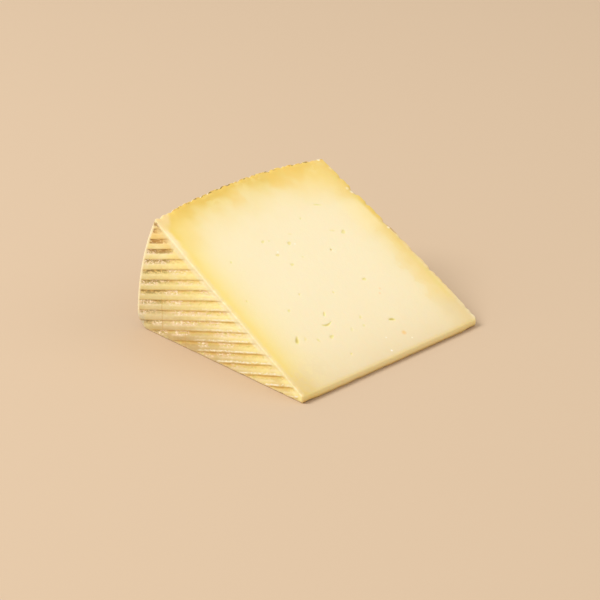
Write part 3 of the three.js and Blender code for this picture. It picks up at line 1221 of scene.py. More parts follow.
class BoardTree(PressTree):
    """Presses the parallel ribs of a cheese board into a flat face."""

    # Size in millimetres and detail of each noise
    NOISES = {"drift": (11.0, 3.0), "swell": (7.0, 2.0), "grain": (1.7, 3.0), "fray": (4.6, 2.0)}
    # How far inside a surface the print starts and is full, and what the lower cut leaves of it
    UPPER_FADE = (0.3, 1.6)
    FRAYED_START = 0.8
    LOWER_FADE = (0.2, 1.2)
    LEFT_AT_LOWER = 0.3
    TIP_FADE = (2.0, 4.5)

    def build(self) -> None:
        """Builds the tree: where the ribs lie, where they fade, and the press itself."""
        node, given = partial(add_node, self.tree), self.given
        position = node("GeometryNodeInputPosition").outputs[0]
        _, y, z = node(SPLIT, None, {0: position}).outputs
        noises = self.add_noises(position)
        along, across, share = self.add_frame(y, z, noises["drift"])
        face = node(ATTRIBUTE, {"data_type": "FLOAT"}, {"Name": given["distance_name"]}).outputs[0]
        pressed = self.add_fades(z, face, noises["fray"])
        amount = node(MATH, MULTIPLY, {0: self.add_profile(share), 1: pressed}).outputs[0]
        bite = node(MATH, MULTIPLY_ADD, {0: noises["swell"], 1: given["uneven"], 2: 1.0}).outputs[0]
        depth = node(MATH, MULTIPLY, {0: amount, 1: given["depth"]}).outputs[0]
        depth = node(MATH, MULTIPLY, {0: depth, 1: bite}).outputs[0]
        rough = node(MATH, MULTIPLY, {0: noises["grain"], 1: given["grain"]}).outputs[0]
        depth = node(MATH, MULTIPLY_ADD, {0: rough, 1: pressed, 2: depth}).outputs[0]
        shift = node(MATH, MULTIPLY, {0: depth, 1: given["inward"]}).outputs[0]
        inward = node(COMBINE, None, {"X": shift}).outputs[0]
        place = node(COMBINE, None, {"X": along, "Y": across}).outputs[0]
        lies = node(
            COMPARE, {"data_type": "FLOAT", "operation": "LESS_THAN"}, {0: face, 1: given["sink"]}
        ).outputs[0]
        stored = {"groove": amount, "pressed": pressed, "share": share, "print_place": place}
        self.press(inward, stored, lies)

    def add_noises(self, position: Socket) -> dict[str, Socket]:
        """Adds the noises that make the print uneven, each of them about nought.

        Args:
            position: Each point's place.

        Returns:
            The noises by name.
        """
        node, noises = partial(add_node, self.tree), {}
        for name, (size, detail) in self.NOISES.items():
            cloud = node(
                NOISE,
                SEEDED,
                {"Vector": position, "W": self.given["seed"], "Scale": 1 / size, "Detail": detail},
            ).outputs[0]
            noises[name] = node(MATH, MULTIPLY_ADD, {0: cloud, 1: 2.0, 2: -1.0}).outputs[0]
        return noises

    def add_frame(self, y: Socket, z: Socket, drift: Socket) -> tuple[Socket, Socket, Socket]:
        """Adds the ribs' own frame.

        Args:
            y: Each point's place along the lower cut.
            z: Its height.
            drift: The noise that the ribs waver with.

        Returns:
            The place along and across the ribs, and the part of the pitch below a lip.
        """
        node, given = partial(add_node, self.tree), self.given
        sine, cosine = (
            node(MATH, {"operation": kind}, {0: given["direction"]}).outputs[0]
            for kind in ("SINE", "COSINE")
        )
        axes = []
        for first, second, kind in ((y, z, "ADD"), (z, y, "SUBTRACT")):
            one = node(MATH, MULTIPLY, {0: first, 1: cosine}).outputs[0]
            two = node(MATH, MULTIPLY, {0: second, 1: sine}).outputs[0]
            axes.append(node(MATH, {"operation": kind}, {0: one, 1: two}).outputs[0])
        along, across = axes
        across = node(MATH, MULTIPLY_ADD, {0: drift, 1: given["waver"], 2: across}).outputs[0]
        below = node(MATH, SUBTRACT, {0: given["first_lip"], 1: across}).outputs[0]
        ribs = node(MATH, DIVIDE, {0: below, 1: given["pitch"]}).outputs[0]
        share = node(MATH, {"operation": "FRACT"}, {0: ribs}).outputs[0]
        return along, across, share

    def add_profile(self, share: Socket) -> Socket:
        """Adds the curve of a groove between two lips.

        Args:
            share: The part of the pitch below a lip.

        Returns:
            How deep the groove is there, from 0 to 1.
        """
        profile = add_node(self.tree, "ShaderNodeFloatCurve", None, {"Value": share})
        curve = profile.mapping.curves[0]
        stops = (*BoardPrint.PROFILE, (1.0, BoardPrint.PROFILE[0][1]))
        for place, depth in stops[1:-1]:
            curve.points.new(place, depth)
        for point, (place, depth) in zip(curve.points, stops):
            point.location = (place, depth)
            point.handle_type = "VECTOR"
        profile.mapping.update()
        return profile.outputs[0]

    def add_fades(self, z: Socket, face: Socket, fray: Socket) -> Socket:
        """Adds the fading of the print towards its ends.

        Args:
            z: Each point's height.
            face: How far inside the flat face it is.
            fray: The noise that the print frays with beside the upper cut.

        Returns:
            How much of the print is left, from 0 to 1.
        """
        node, given = partial(add_node, self.tree), self.given
        side, tip, upper, lower = (
            node(ATTRIBUTE, {"data_type": "FLOAT"}, {"Name": DISTANCES[part]}).outputs[0]
            for part in (Part.SIDE, Part.TIP, Part.UPPER_CUT, Part.LOWER_CUT)
        )
        frayed = node(MATH, MULTIPLY_ADD, {0: fray, 1: given["fray"], 2: upper}).outputs[0]
        frayed = node(MATH, MULTIPLY_ADD, {0: side, 1: given["narrowing"], 2: frayed}).outputs[0]
        # In the top corner the ribs come closer to the cut again
        above = node(MATH, SUBTRACT, {0: z, 1: given["corner"]}).outputs[0]
        above = node(MATH, {"operation": "MAXIMUM"}, {0: above, 1: 0.0}).outputs[0]
        frayed = node(MATH, ADD, {0: frayed, 1: above}).outputs[0]
        rim_end = node(MATH, ADD, {0: given["rim_margin"], 1: given["lip_width"]}).outputs[0]
        return faded(self.tree, 1.0, (
            (side, given["rim_margin"], rim_end, 0.0, 1.0),
            (upper, *self.UPPER_FADE, given["left_at_cut"], 1.0),
            (frayed, self.FRAYED_START, given["cut_margin"], given["left_at_cut"], 1.0),
            (lower, *self.LOWER_FADE, self.LEFT_AT_LOWER, 1.0),
            (tip, *self.TIP_FADE, 0.0, 1.0),
            (face, 0.0, given["sink"], 1.0, 0.0),
        ))


class PlaitTree(PressTree):
    """Presses the plaited band's rows of slanting strokes into the side."""

    # Size in millimetres and detail of the noise that moves the strokes, and how far it does
    DRIFT = (7.0, 2.0)
    DRIFT_REACH = 1.2
    # How narrow the grooves are between strokes and between rows, and how softly they meet
    STROKE_SHARPNESS = 2.6
    ROW_SHARPNESS = 6.0
    GROOVE_BLEND = 0.25
    # Size and detail of the strands' fibres, and how they are drawn out along the strokes
    FIBRES = (1.3, 3.0)
    FIBRE_STRETCH = (1.0, 0.28, 1.0)
    # How far the print takes to come in at the first and last row, and beside the upper cut
    END_FADE = 1.4
    UPPER_FADE = (0.5, 4.0)

    def build(self) -> None:
        """Builds the tree: the strokes of each row, their seams, and the press itself."""
        node, given = partial(add_node, self.tree), self.given
        position = node("GeometryNodeInputPosition").outputs[0]
        x, y, z = node(SPLIT, None, {0: position}).outputs
        turn = node(MATH, {"operation": "ARCTAN2"}, {0: z, 1: y}).outputs[0]
        down = node(MATH, SUBTRACT, {0: x, 1: given["first_row"]}).outputs[0]
        upright = self.add_upright(position, turn, down)
        strokes, fibres = self.add_strokes(upright, down), self.add_fibres(upright, down)
        depth = node(MATH, MULTIPLY_ADD, {0: fibres, 1: given["grain"], 2: strokes}).outputs[0]

        side = node(ATTRIBUTE, {"data_type": "FLOAT"}, {"Name": DISTANCES[Part.SIDE]}).outputs[0]
        upper = node(
            ATTRIBUTE, {"data_type": "FLOAT"}, {"Name": DISTANCES[Part.UPPER_CUT]}
        ).outputs[0]
        start, end = (
            node(MATH, {"operation": kind}, {0: given[row], 1: self.END_FADE}).outputs[0]
            for kind, row in (("ADD", "first_row"), ("SUBTRACT", "last_row"))
        )
        depth = faded(self.tree, depth, (
            (x, given["first_row"], start, 0.0, 1.0),
            (x, end, given["last_row"], 1.0, 0.0),
            (upper, *self.UPPER_FADE, given["left_at_cut"], 1.0),
            (side, 0.0, given["sink"], 1.0, 0.0),
        ))
        shifts = []
        for kind in ("COSINE", "SINE"):
            outward = node(MATH, {"operation": kind}, {0: turn}).outputs[0]
            shift = node(MATH, MULTIPLY, {0: outward, 1: depth}).outputs[0]
            shifts.append(node(MATH, MULTIPLY, {0: shift, 1: -1.0}).outputs[0])
        inward = node(COMBINE, None, {"Y": shifts[0], "Z": shifts[1]}).outputs[0]
        lies = node(
            COMPARE, {"data_type": "FLOAT", "operation": "LESS_THAN"}, {0: side, 1: given["sink"]}
        ).outputs[0]
        self.press(inward, {"plait": depth}, lies)

    def add_upright(self, position: Socket, turn: Socket, down: Socket) -> Socket:
        """Adds the place round the side, with the strokes' lean taken out.

        Args:
            position: Each point's place.
            turn: Its turn round the axis.
            down: Its distance from the first row.

        Returns:
            The place, the same all along one stroke.
        """
        node, given = partial(add_node, self.tree), self.given
        arc = node(MATH, MULTIPLY, {0: turn, 1: given["radius"]}).outputs[0]
        zigzag = node(MATH, {"operation": "PINGPONG"}, {0: down, 1: given["row"]}).outputs[0]
        zigzag = node(MATH, DIVIDE, {0: zigzag, 1: given["row"]}).outputs[0]
        zigzag = node(MATH, SUBTRACT, {0: zigzag, 1: 0.5}).outputs[0]
        lean = node(MATH, MULTIPLY, {0: zigzag, 1: given["lean"]}).outputs[0]
        upright = node(MATH, SUBTRACT, {0: arc, 1: lean}).outputs[0]
        size, detail = self.DRIFT
        drift = node(
            NOISE,
            SEEDED,
            {"Vector": position, "W": given["seed"], "Scale": 1 / size, "Detail": detail},
        ).outputs[0]
        return node(MATH, MULTIPLY_ADD, {0: drift, 1: self.DRIFT_REACH, 2: upright}).outputs[0]

    def add_strokes(self, upright: Socket, down: Socket) -> Socket:
        """Adds the strokes and the seams between their rows.

        Args:
            upright: Each point's place round the side, with the lean taken out.
            down: Its distance from the first row.

        Returns:
            How deep the print is.
        """
        node, given = partial(add_node, self.tree), self.given
        edges, whole = [], []
        for place, size, sharpness in (
            (upright, given["stroke"], self.STROKE_SHARPNESS),
            (down, given["row"], self.ROW_SHARPNESS),
        ):
            count = node(MATH, DIVIDE, {0: place, 1: size}).outputs[0]
            whole.append(node(MATH, {"operation": "FLOOR"}, {0: count}).outputs[0])
            share = node(MATH, {"operation": "FRACT"}, {0: count}).outputs[0]
            share = node(MATH, MULTIPLY_ADD, {0: share, 1: 2.0, 2: -1.0}).outputs[0]
            share = node(MATH, {"operation": "ABSOLUTE"}, {0: share}).outputs[0]
            edges.append(node(MATH, {"operation": "POWER"}, {0: share, 1: sharpness}).outputs[0])
        groove, seam = (
            node(MATH, MULTIPLY, {0: edge, 1: given[deep]}).outputs[0]
            for edge, deep in zip(edges, ("depth", "seam_depth"))
        )
        depth = node(
            MATH, {"operation": "SMOOTH_MAX"}, {0: groove, 1: seam, 2: self.GROOVE_BLEND}
        ).outputs[0]
        # Each strand is pressed a little less or more than the next
        cell = node(COMBINE, None, {"X": whole[0], "Y": whole[1], "Z": given["seed"]}).outputs[0]
        chance = node(
            "ShaderNodeTexWhiteNoise", {"noise_dimensions": "3D"}, {"Vector": cell}
        ).outputs["Value"]
        lump = node(MATH, MULTIPLY, {0: chance, 1: given["uneven"]}).outputs[0]
        level = node(MATH, SUBTRACT, {0: 1.0, 1: edges[0]}).outputs[0]
        return node(MATH, MULTIPLY_ADD, {0: lump, 1: level, 2: depth}).outputs[0]

    def add_fibres(self, upright: Socket, down: Socket) -> Socket:
        """Adds the fibres of the strands.

        Args:
            upright: Each point's place round the side, with the lean taken out.
            down: Its distance from the first row.

        Returns:
            The fibres, from -0.5 to 0.5.
        """
        node, seed = partial(add_node, self.tree), self.given["seed"]
        size, detail = self.FIBRES
        place = node(COMBINE, None, {"X": upright, "Y": down}).outputs[0]
        place = node(VECTOR_MATH, MULTIPLY, {0: place, 1: self.FIBRE_STRETCH}).outputs[0]
        fibre = node(
            NOISE, SEEDED, {"Vector": place, "W": seed, "Scale": 1 / size, "Detail": detail}
        ).outputs[0]
        return node(MATH, SUBTRACT, {0: fibre, 1: 0.5}).outputs[0]


@dataclass(frozen=True)
class PlaitPrint:
    """The print of the plaited band: rows of strokes that lean to and fro.

    The first and last row are where the print starts and ends along the axis, and a stroke
    is as wide as the rim's radius and their number round the wheel make it.
    """

    # How many strokes go round the whole wheel
    STROKES_ROUND = 126

    part: Part = Part.SIDE
    radius: float = 100.0
    row: float = 8.6
    first_row: float = 1.5
    last_row: float = 89.4
    stroke: float = 2 * math.pi * radius / STROKES_ROUND
    lean: float = 5.5
    depth: float = 0.9
    seam_depth: float = 0.75
    left_at_cut: float = 0.4
    uneven: float = 0.3
    grain: float = 0.22
    sink: float = 5.0
    seed: float = 4.0


@dataclass(frozen=True)
class Cloud:
    """A noise that a finish reads: its size along each axis in millimetres, and its detail.

    One on the print lies along and across the board's ribs.
    """

    size: tuple[float, float, float]
    detail: float = 3.0
    on_print: bool = False


@dataclass(frozen=True)
class Layer:
    """A colour laid over a finish, as strongly as all its masks together allow.

    Each mask names a measure, and the values of it at which the layer starts and is full.
    """

    colour: str
    strength: float
    masks: tuple[tuple[str, float, float], ...]


@dataclass(frozen=True)
class Deepening:
    """How a see-through paste deepens in colour towards one surface, as it dries there.

    The tint is what is left of white at its deepest. Past the start the effect falls to a
    third over each reach, in millimetres.
    """

    distance: str
    tint: str
    start: float
    reach: float
    drift: float
    strength: float = 1.0


@dataclass(frozen=True)
class Spot:
    """A small round mark on the upper cut: place from the axis and from the near face."""

    out: float
    along: float
    size: float
    colour: str
    strength: float


@dataclass
class Finish:
    """A procedural finish in the making: its tree and the measures that its layers read."""

    name: str
    axis: Vector
    clouds: dict[str, Cloud]
    # Further measures: one measure plus a share of another, by name
    blends: dict[str, tuple[str, str, float]]
    tree: bpy.types.NodeTree = field(init=False)
    made: bpy.types.Material = field(init=False)
    place: Socket = field(init=False)
    measures: dict[str, Socket] = field(init=False, default_factory=dict)

    STORED_NAMES = (*DISTANCES.values(), "groove", "pressed", "share", "plait", "eye")
    # The part of a small mark's width that has its full colour
    SPOT_CORE = 0.25
    # How rough the smoothest of it is, and how much rougher the coarser cloud makes it
    ROUGHNESS = 0.42
    ROUGHER = 0.3
    # The finer cloud's share of the bump
    FINE_SHARE = 0.45
    # Fat bends light as oil does, and under the surface red light goes farthest
    IOR = 1.45
    SCATTER = (1.0, 0.6, 0.3)

    def __post_init__(self) -> None:
        """Starts the material and its measures, in millimetres round the wheel's axis."""
        self.made = bpy.data.materials.new(self.name)
        self.made.use_nodes = True
        self.tree = self.made.node_tree
        self.tree.nodes.clear()
        node = partial(add_node, self.tree)
        # Object coordinates, turned from metres in the row frame to the wheel's millimetres
        self.place = node(
            "ShaderNodeMapping",
            None,
            {
                "Vector": node("ShaderNodeTexCoord").outputs["Object"],
                "Location": -self.axis / MM,
                "Scale": (1 / MM,) * 3,
            },
        ).outputs[0]
        on_print = node("ShaderNodeAttribute", {"attribute_name": "print_place"}).outputs["Vector"]
        for name in self.STORED_NAMES:
            read = node("ShaderNodeAttribute", {"attribute_name": name})
            self.measures[name] = read.outputs["Fac"]
        for name, value in zip("xyz", node(SPLIT, None, {0: self.place}).outputs):
            self.measures[name] = value
        for name, cloud in self.clouds.items():
            scale = tuple(1 / size for size in cloud.size)
            at = on_print if cloud.on_print else self.place
            at = node(VECTOR_MATH, MULTIPLY, {0: at, 1: scale}).outputs[0]
            self.measures[name] = node(
                NOISE, None, {"Vector": at, "Scale": 1.0, "Detail": cloud.detail}
            ).outputs[0]
        for name, (first, second, share) in self.blends.items():
            self.measures[name] = node(
                MATH, MULTIPLY_ADD, {0: self.measures[second], 1: share, 2: self.measures[first]}
            ).outputs[0]

    def deepened(self, heart: Colour, steps: tuple[Deepening, ...]) -> Socket:
        """Deepens a colour towards each surface in turn.

        Args:
            heart: The colour far from them all.
            steps: How it deepens towards each.

        Returns:
            The deepened colour.
        """
        node, colour = partial(add_node, self.tree), heart[:3]
        drift = node(MATH, SUBTRACT, {0: self.measures["drift"], 1: 0.5}).outputs[0]
        for step in steps:
            depth = node(
                MATH, MULTIPLY_ADD, {0: drift, 1: step.drift, 2: self.measures[step.distance]}
            ).outputs[0]
            depth = node(MATH, SUBTRACT, {0: depth, 1: step.start}).outputs[0]
            depth = node(MATH, {"operation": "MAXIMUM"}, {0: depth, 1: 0.0}).outputs[0]
            depth = node(MATH, DIVIDE, {0: depth, 1: -step.reach}).outputs[0]
            share = node(MATH, {"operation": "EXPONENT"}, {0: depth}).outputs[0]
            share = node(MATH, MULTIPLY, {0: share, 1: step.strength}).outputs[0]
            left = node(
                VECTOR_MATH, {"operation": "POWER"}, {0: linear(step.tint)[:3], 1: share}
            ).outputs[0]
            colour = node(VECTOR_MATH, MULTIPLY, {0: colour, 1: left}).outputs[0]
        return colour

    def layered(self, ground: Socket | Colour, layers: tuple[Layer, ...]) -> Socket:
        """Lays colours over one another.

        Args:
            ground: The lowest colour.
            layers: What lies over it, in order.

        Returns:
            The colour on top.
        """
        for layer in layers:
            masks = [(self.measures[name], start, full, 0.0, 1.0)
                     for name, start, full in layer.masks]
            ground = add_node(
                self.tree,
                "ShaderNodeMix",
                {"data_type": "RGBA", "clamp_factor": True},
                {0: faded(self.tree, layer.strength, masks), 6: ground, 7: linear(layer.colour)},
            ).outputs[2]
        return ground

    def spotted(self, ground: Socket, spots: tuple[Spot, ...], angle: float) -> Socket:
        """Lays small marks over the upper cut.

        Args:
            ground: The colour under them.
            spots: The marks.
            angle: The upper cut's turn round the axis.

        Returns:
            The colour with the marks.
        """
        for spot in spots:
            centre = (spot.along, spot.out * math.cos(angle), spot.out * math.sin(angle))
            away = add_node(
                self.tree, VECTOR_MATH, {"operation": "DISTANCE"}, {0: self.place, 1: centre}
            ).outputs["Value"]
            edge = spot.size / 2
            mask = (away, edge, edge * self.SPOT_CORE, 0.0, spot.strength)
            ground = add_node(
                self.tree,
                "ShaderNodeMix",
                {"data_type": "RGBA", "clamp_factor": True},
                {0: faded(self.tree, 1.0, [mask]), 6: ground, 7: linear(spot.colour)},
            ).outputs[2]
        return ground

    def shaded(
        self,
        colour: Socket,
        bumps: tuple[str, str],
        bump: tuple[float, float],
        seen_through: tuple[float, float],
    ) -> bpy.types.Material:
        """Ends the finish with its shader.

        Args:
            colour: The finished colour.
            bumps: The clouds that give the bump, the coarser first.
            bump: The bump's strength, and its height in millimetres.
            seen_through: How much light goes under the surface, and how deep in millimetres.

        Returns:
            The finished material.
        """
        node = partial(add_node, self.tree)
        coarse, fine = (self.measures[name] for name in bumps)
        roughness = node(
            MATH, MULTIPLY_ADD, {0: coarse, 1: self.ROUGHER, 2: self.ROUGHNESS}
        ).outputs[0]
        height = node(MATH, MULTIPLY_ADD, {0: fine, 1: self.FINE_SHARE, 2: coarse}).outputs[0]
        normal = node(
            "ShaderNodeBump",
            None,
            {"Strength": bump[0], "Distance": bump[1] * MM, "Height": height},
        ).outputs[0]
        shader = node(
            "ShaderNodeBsdfPrincipled",
            {"subsurface_method": "RANDOM_WALK"},
            {
                "Base Color": colour,
                "Roughness": roughness,
                "IOR": self.IOR,
                "Subsurface Weight": seen_through[0],
                "Subsurface Radius": self.SCATTER,
                "Subsurface Scale": seen_through[1] * MM,
                "Normal": normal,
            },
        ).outputs[0]
        node("ShaderNodeOutputMaterial", None, {"Surface": shader})
        return self.made


@dataclass(frozen=True)
class Paste:
    """Pressed paste of an aged sheep's milk cheese, cut by knife: close, waxy, faintly see-through.

    It is pale cream at heart, and deepens to gold towards the side and to lemon beside the
    near face, where it has dried.
    """

    name: str = "manchego_paste"
    heart: str = "F6E7C0"
    deepenings: tuple[Deepening, ...] = (
        Deepening("from_side", "EDD680", 2.0, 6.6, 9.0),
        Deepening("from_near", "FEF3B1", 2.5, 5.9, 2.0),
        Deepening("from_far", "EDD680", 0.0, 4.8, 8.0, 0.9),
        Deepening("from_tip", "F0E9E0", 0.0, 12.0, 4.0),
    )
    layers: tuple[Layer, ...] = (
        # The far edge, golden and ragged beside the rim, rubbed pale towards the tip
        Layer("F5D477", 0.42, (("from_far", 38.0, 10.0), ("from_side", 27.0, 10.0))),
        Layer("F4D684", 0.18, (("from_far", 14.0, 5.0),)),
        Layer("F0D086", 0.3, (("far_tattered", 18.0, 15.5),)),
        Layer("E4D478", 0.35, (("from_far", 5.0, 3.0), ("from_far", 0.9, 1.8),
                               ("drift", 0.47, 0.53))),
        # Golden crust at the side, mottled and lightly streaked
        Layer("F6E09C", 0.32, (("from_side", 12.0, 4.0), ("broad", 0.5, 0.6),
                               ("mottle", 0.42, 0.56))),
        Layer("EFC660", 0.5, (("from_side", 14.0, 6.0), ("broad", 0.5, 0.38),
                              ("from_far", 4.0, 10.0), ("from_near", 12.0, 20.0))),
        Layer("F5D477", 0.35, (("from_near", 2.5, 8.0), ("from_near", 17.0, 10.0),
                               ("from_side", 25.0, 15.0))),
        # The far edge's outermost strip: gold near the rim, pale and crumbled where it is rubbed
        Layer("EBC965", 0.6, (("from_far", 3.4, 0.8), ("y", 46.0, 58.0), ("broad", 0.42, 0.54))),
        Layer("F7E4B2", 0.6, (("far_ragged", 3.6, 1.3), ("y", 50.0, 38.0))),
        Layer("F9E6B8", 0.75, (("far_ragged", 2.6, 1.4), ("broad", 0.5, 0.42))),
        Layer("DDB878", 0.45, (("from_far", 1.7, 0.5), ("y", 62.0, 52.0), ("y", 12.0, 24.0))),
        # Crumbs of rind drawn along the outer edge
        Layer("C58A3E", 0.7, (("from_side", 1.0, 0.3), ("fine", 0.44, 0.56))),
        Layer("745C30", 0.85, (("from_side", 1.3, 0.6), ("mottle", 0.55, 0.62))),
        # The knife's pale smear along the near edge, partly painted highlight, and the dry corner
        # where it meets the side
        Layer("EBD5A2", 0.75, (("near_ragged", 3.0, 1.1),)),
        Layer("FAE8C2", 0.6, (("near_ragged", 4.2, 2.0), ("from_side", 26.0, 12.0),
                              ("from_side", 3.0, 8.0))),
        Layer("F0D59C", 0.8, (("corner", 9.2, 6.6), ("from_side", 8.5, 3.4))),
        # The side's lower end, dulled
        Layer("E8D6A2", 0.7, (("from_lower_cut", 0.2, 1.0), ("from_side", 9.0, 4.0),
                              ("z", 16.0, 8.0))),
        # Both corners beside the tip, greyer than the heart
        Layer("E4D0A8", 0.5, (("from_tip", 20.0, 9.0), ("from_far", 13.0, 7.0))),
        Layer("E6D2A6", 0.4, (("from_tip", 17.0, 7.0), ("from_near", 28.0, 12.0),
                              ("mottle", 0.4, 0.56))),
        # Paste left pale behind the far strip's narrow part, then brown rind laid bare
        Layer("FBE7B0", 0.55, (("far_ragged", 2.6, 4.6), ("from_far", 16.0, 9.0),
                               ("y", 51.0, 57.0), ("y", 70.0, 64.0))),
        Layer("EBC95E", 0.5, (("from_far", 2.8, 1.4), ("y", 55.0, 60.0), ("y", 69.0, 65.0))),
        Layer("B98648", 0.6, (("from_far", 1.5, 0.7), ("y", 47.0, 50.0), ("y", 56.0, 53.5))),
        Layer("F0D28A", 0.3, (("far_tattered", 22.0, 20.0), ("y", 14.0, 22.0), ("y", 46.0, 38.0))),
        # Tan near the tip, golden on it, and painted contact shadow browning its foot
        Layer("DDC080", 0.45, (("from_tip", 14.0, 4.0), ("from_near", 12.0, 5.0))),
        Layer("F1D684", 0.55, (("from_tip", 2.2, 0.1),)),
        # Painted contact shadow along the tip's foot
        Layer("C99D48", 0.5, (("from_tip", 1.0, 0.2), ("z", 2.0, 0.2))),
        # Eyes, yellower at the edge and olive inside
        Layer("E9DB8A", 0.75, (("eye", 0.0, 0.26),)),
        Layer("C4AE4E", 0.62, (("eye", 0.42, 0.95),)),
    )
    # Pale crystals and flakes, and a few golden flecks
    spots: tuple[Spot, ...] = (
        Spot(67.2, 38.1, 1.3, "FFF8E6", 0.8),
        Spot(35.3, 66.9, 1.6, "F6CC92", 0.5),
        Spot(33.4, 65.2, 1.6, "F6CC92", 0.5),
        Spot(10.2, 62.4, 1.1, "FFF8E0", 0.7),
        Spot(67.9, 48.0, 1.2, "FFF8E6", 0.6),
        Spot(8.7, 49.6, 1.3, "FFFAF0", 0.8),
        Spot(14.7, 51.9, 1.0, "FFFAF0", 0.6),
        Spot(13.6, 60.9, 3.0, "F0C070", 0.65),
        Spot(101.2, 89.4, 2.0, "FFF3D2", 0.8),
        Spot(81.4, 91.8, 2.9, "FDF0D0", 0.85),
        Spot(83.6, 90.9, 2.2, "FAE6B4", 0.75),
        Spot(59.6, 93.6, 1.9, "FDEFD0", 0.7),
    )

    # Strength and height of the bump, and how much light goes under the surface and how deep
    bump: tuple[float, float] = (0.45, 0.12)
    seen_through: tuple[float, float] = (0.15, 2.0)

    # Drying that comes and goes over a centimetre, curd grains of 2.4 mm and their crumbs;
    # the knife's grain is finer in truth, and as coarse here as it needs to show
    CLOUDS = {
        "drift": Cloud((9.0,) * 3, 2.0),
        "broad": Cloud((15.0,) * 3, 2.0),
        "mottle": Cloud((2.4,) * 3),
        "fine": Cloud((1.3,) * 3, 2.0),
        "grain": Cloud((0.55,) * 3, 2.0),
    }
    BLENDS = {
        "corner": ("from_near", "from_side", 0.55),
        "near_ragged": ("from_near", "mottle", 1.8),
        "far_ragged": ("from_far", "mottle", 1.6),
        "far_broken": ("from_far", "drift", 14.0),
        "far_tattered": ("far_broken", "mottle", 7.0),
    }

    def material(self, axis: Vector, angle: float) -> bpy.types.Material:
        """Makes the paste's material.

        Args:
            axis: Where the wheel's axis meets the near face, in the row frame.
            angle: The angle between the cuts.

        Returns:
            The material.
        """
        finish = Finish(self.name, axis, self.CLOUDS, self.BLENDS)
        colour = finish.deepened(linear(self.heart), self.deepenings)
        colour = finish.layered(colour, self.layers)
        colour = finish.spotted(colour, self.spots, angle)
        return finish.shaded(colour, ("mottle", "grain"), self.bump, self.seen_through)


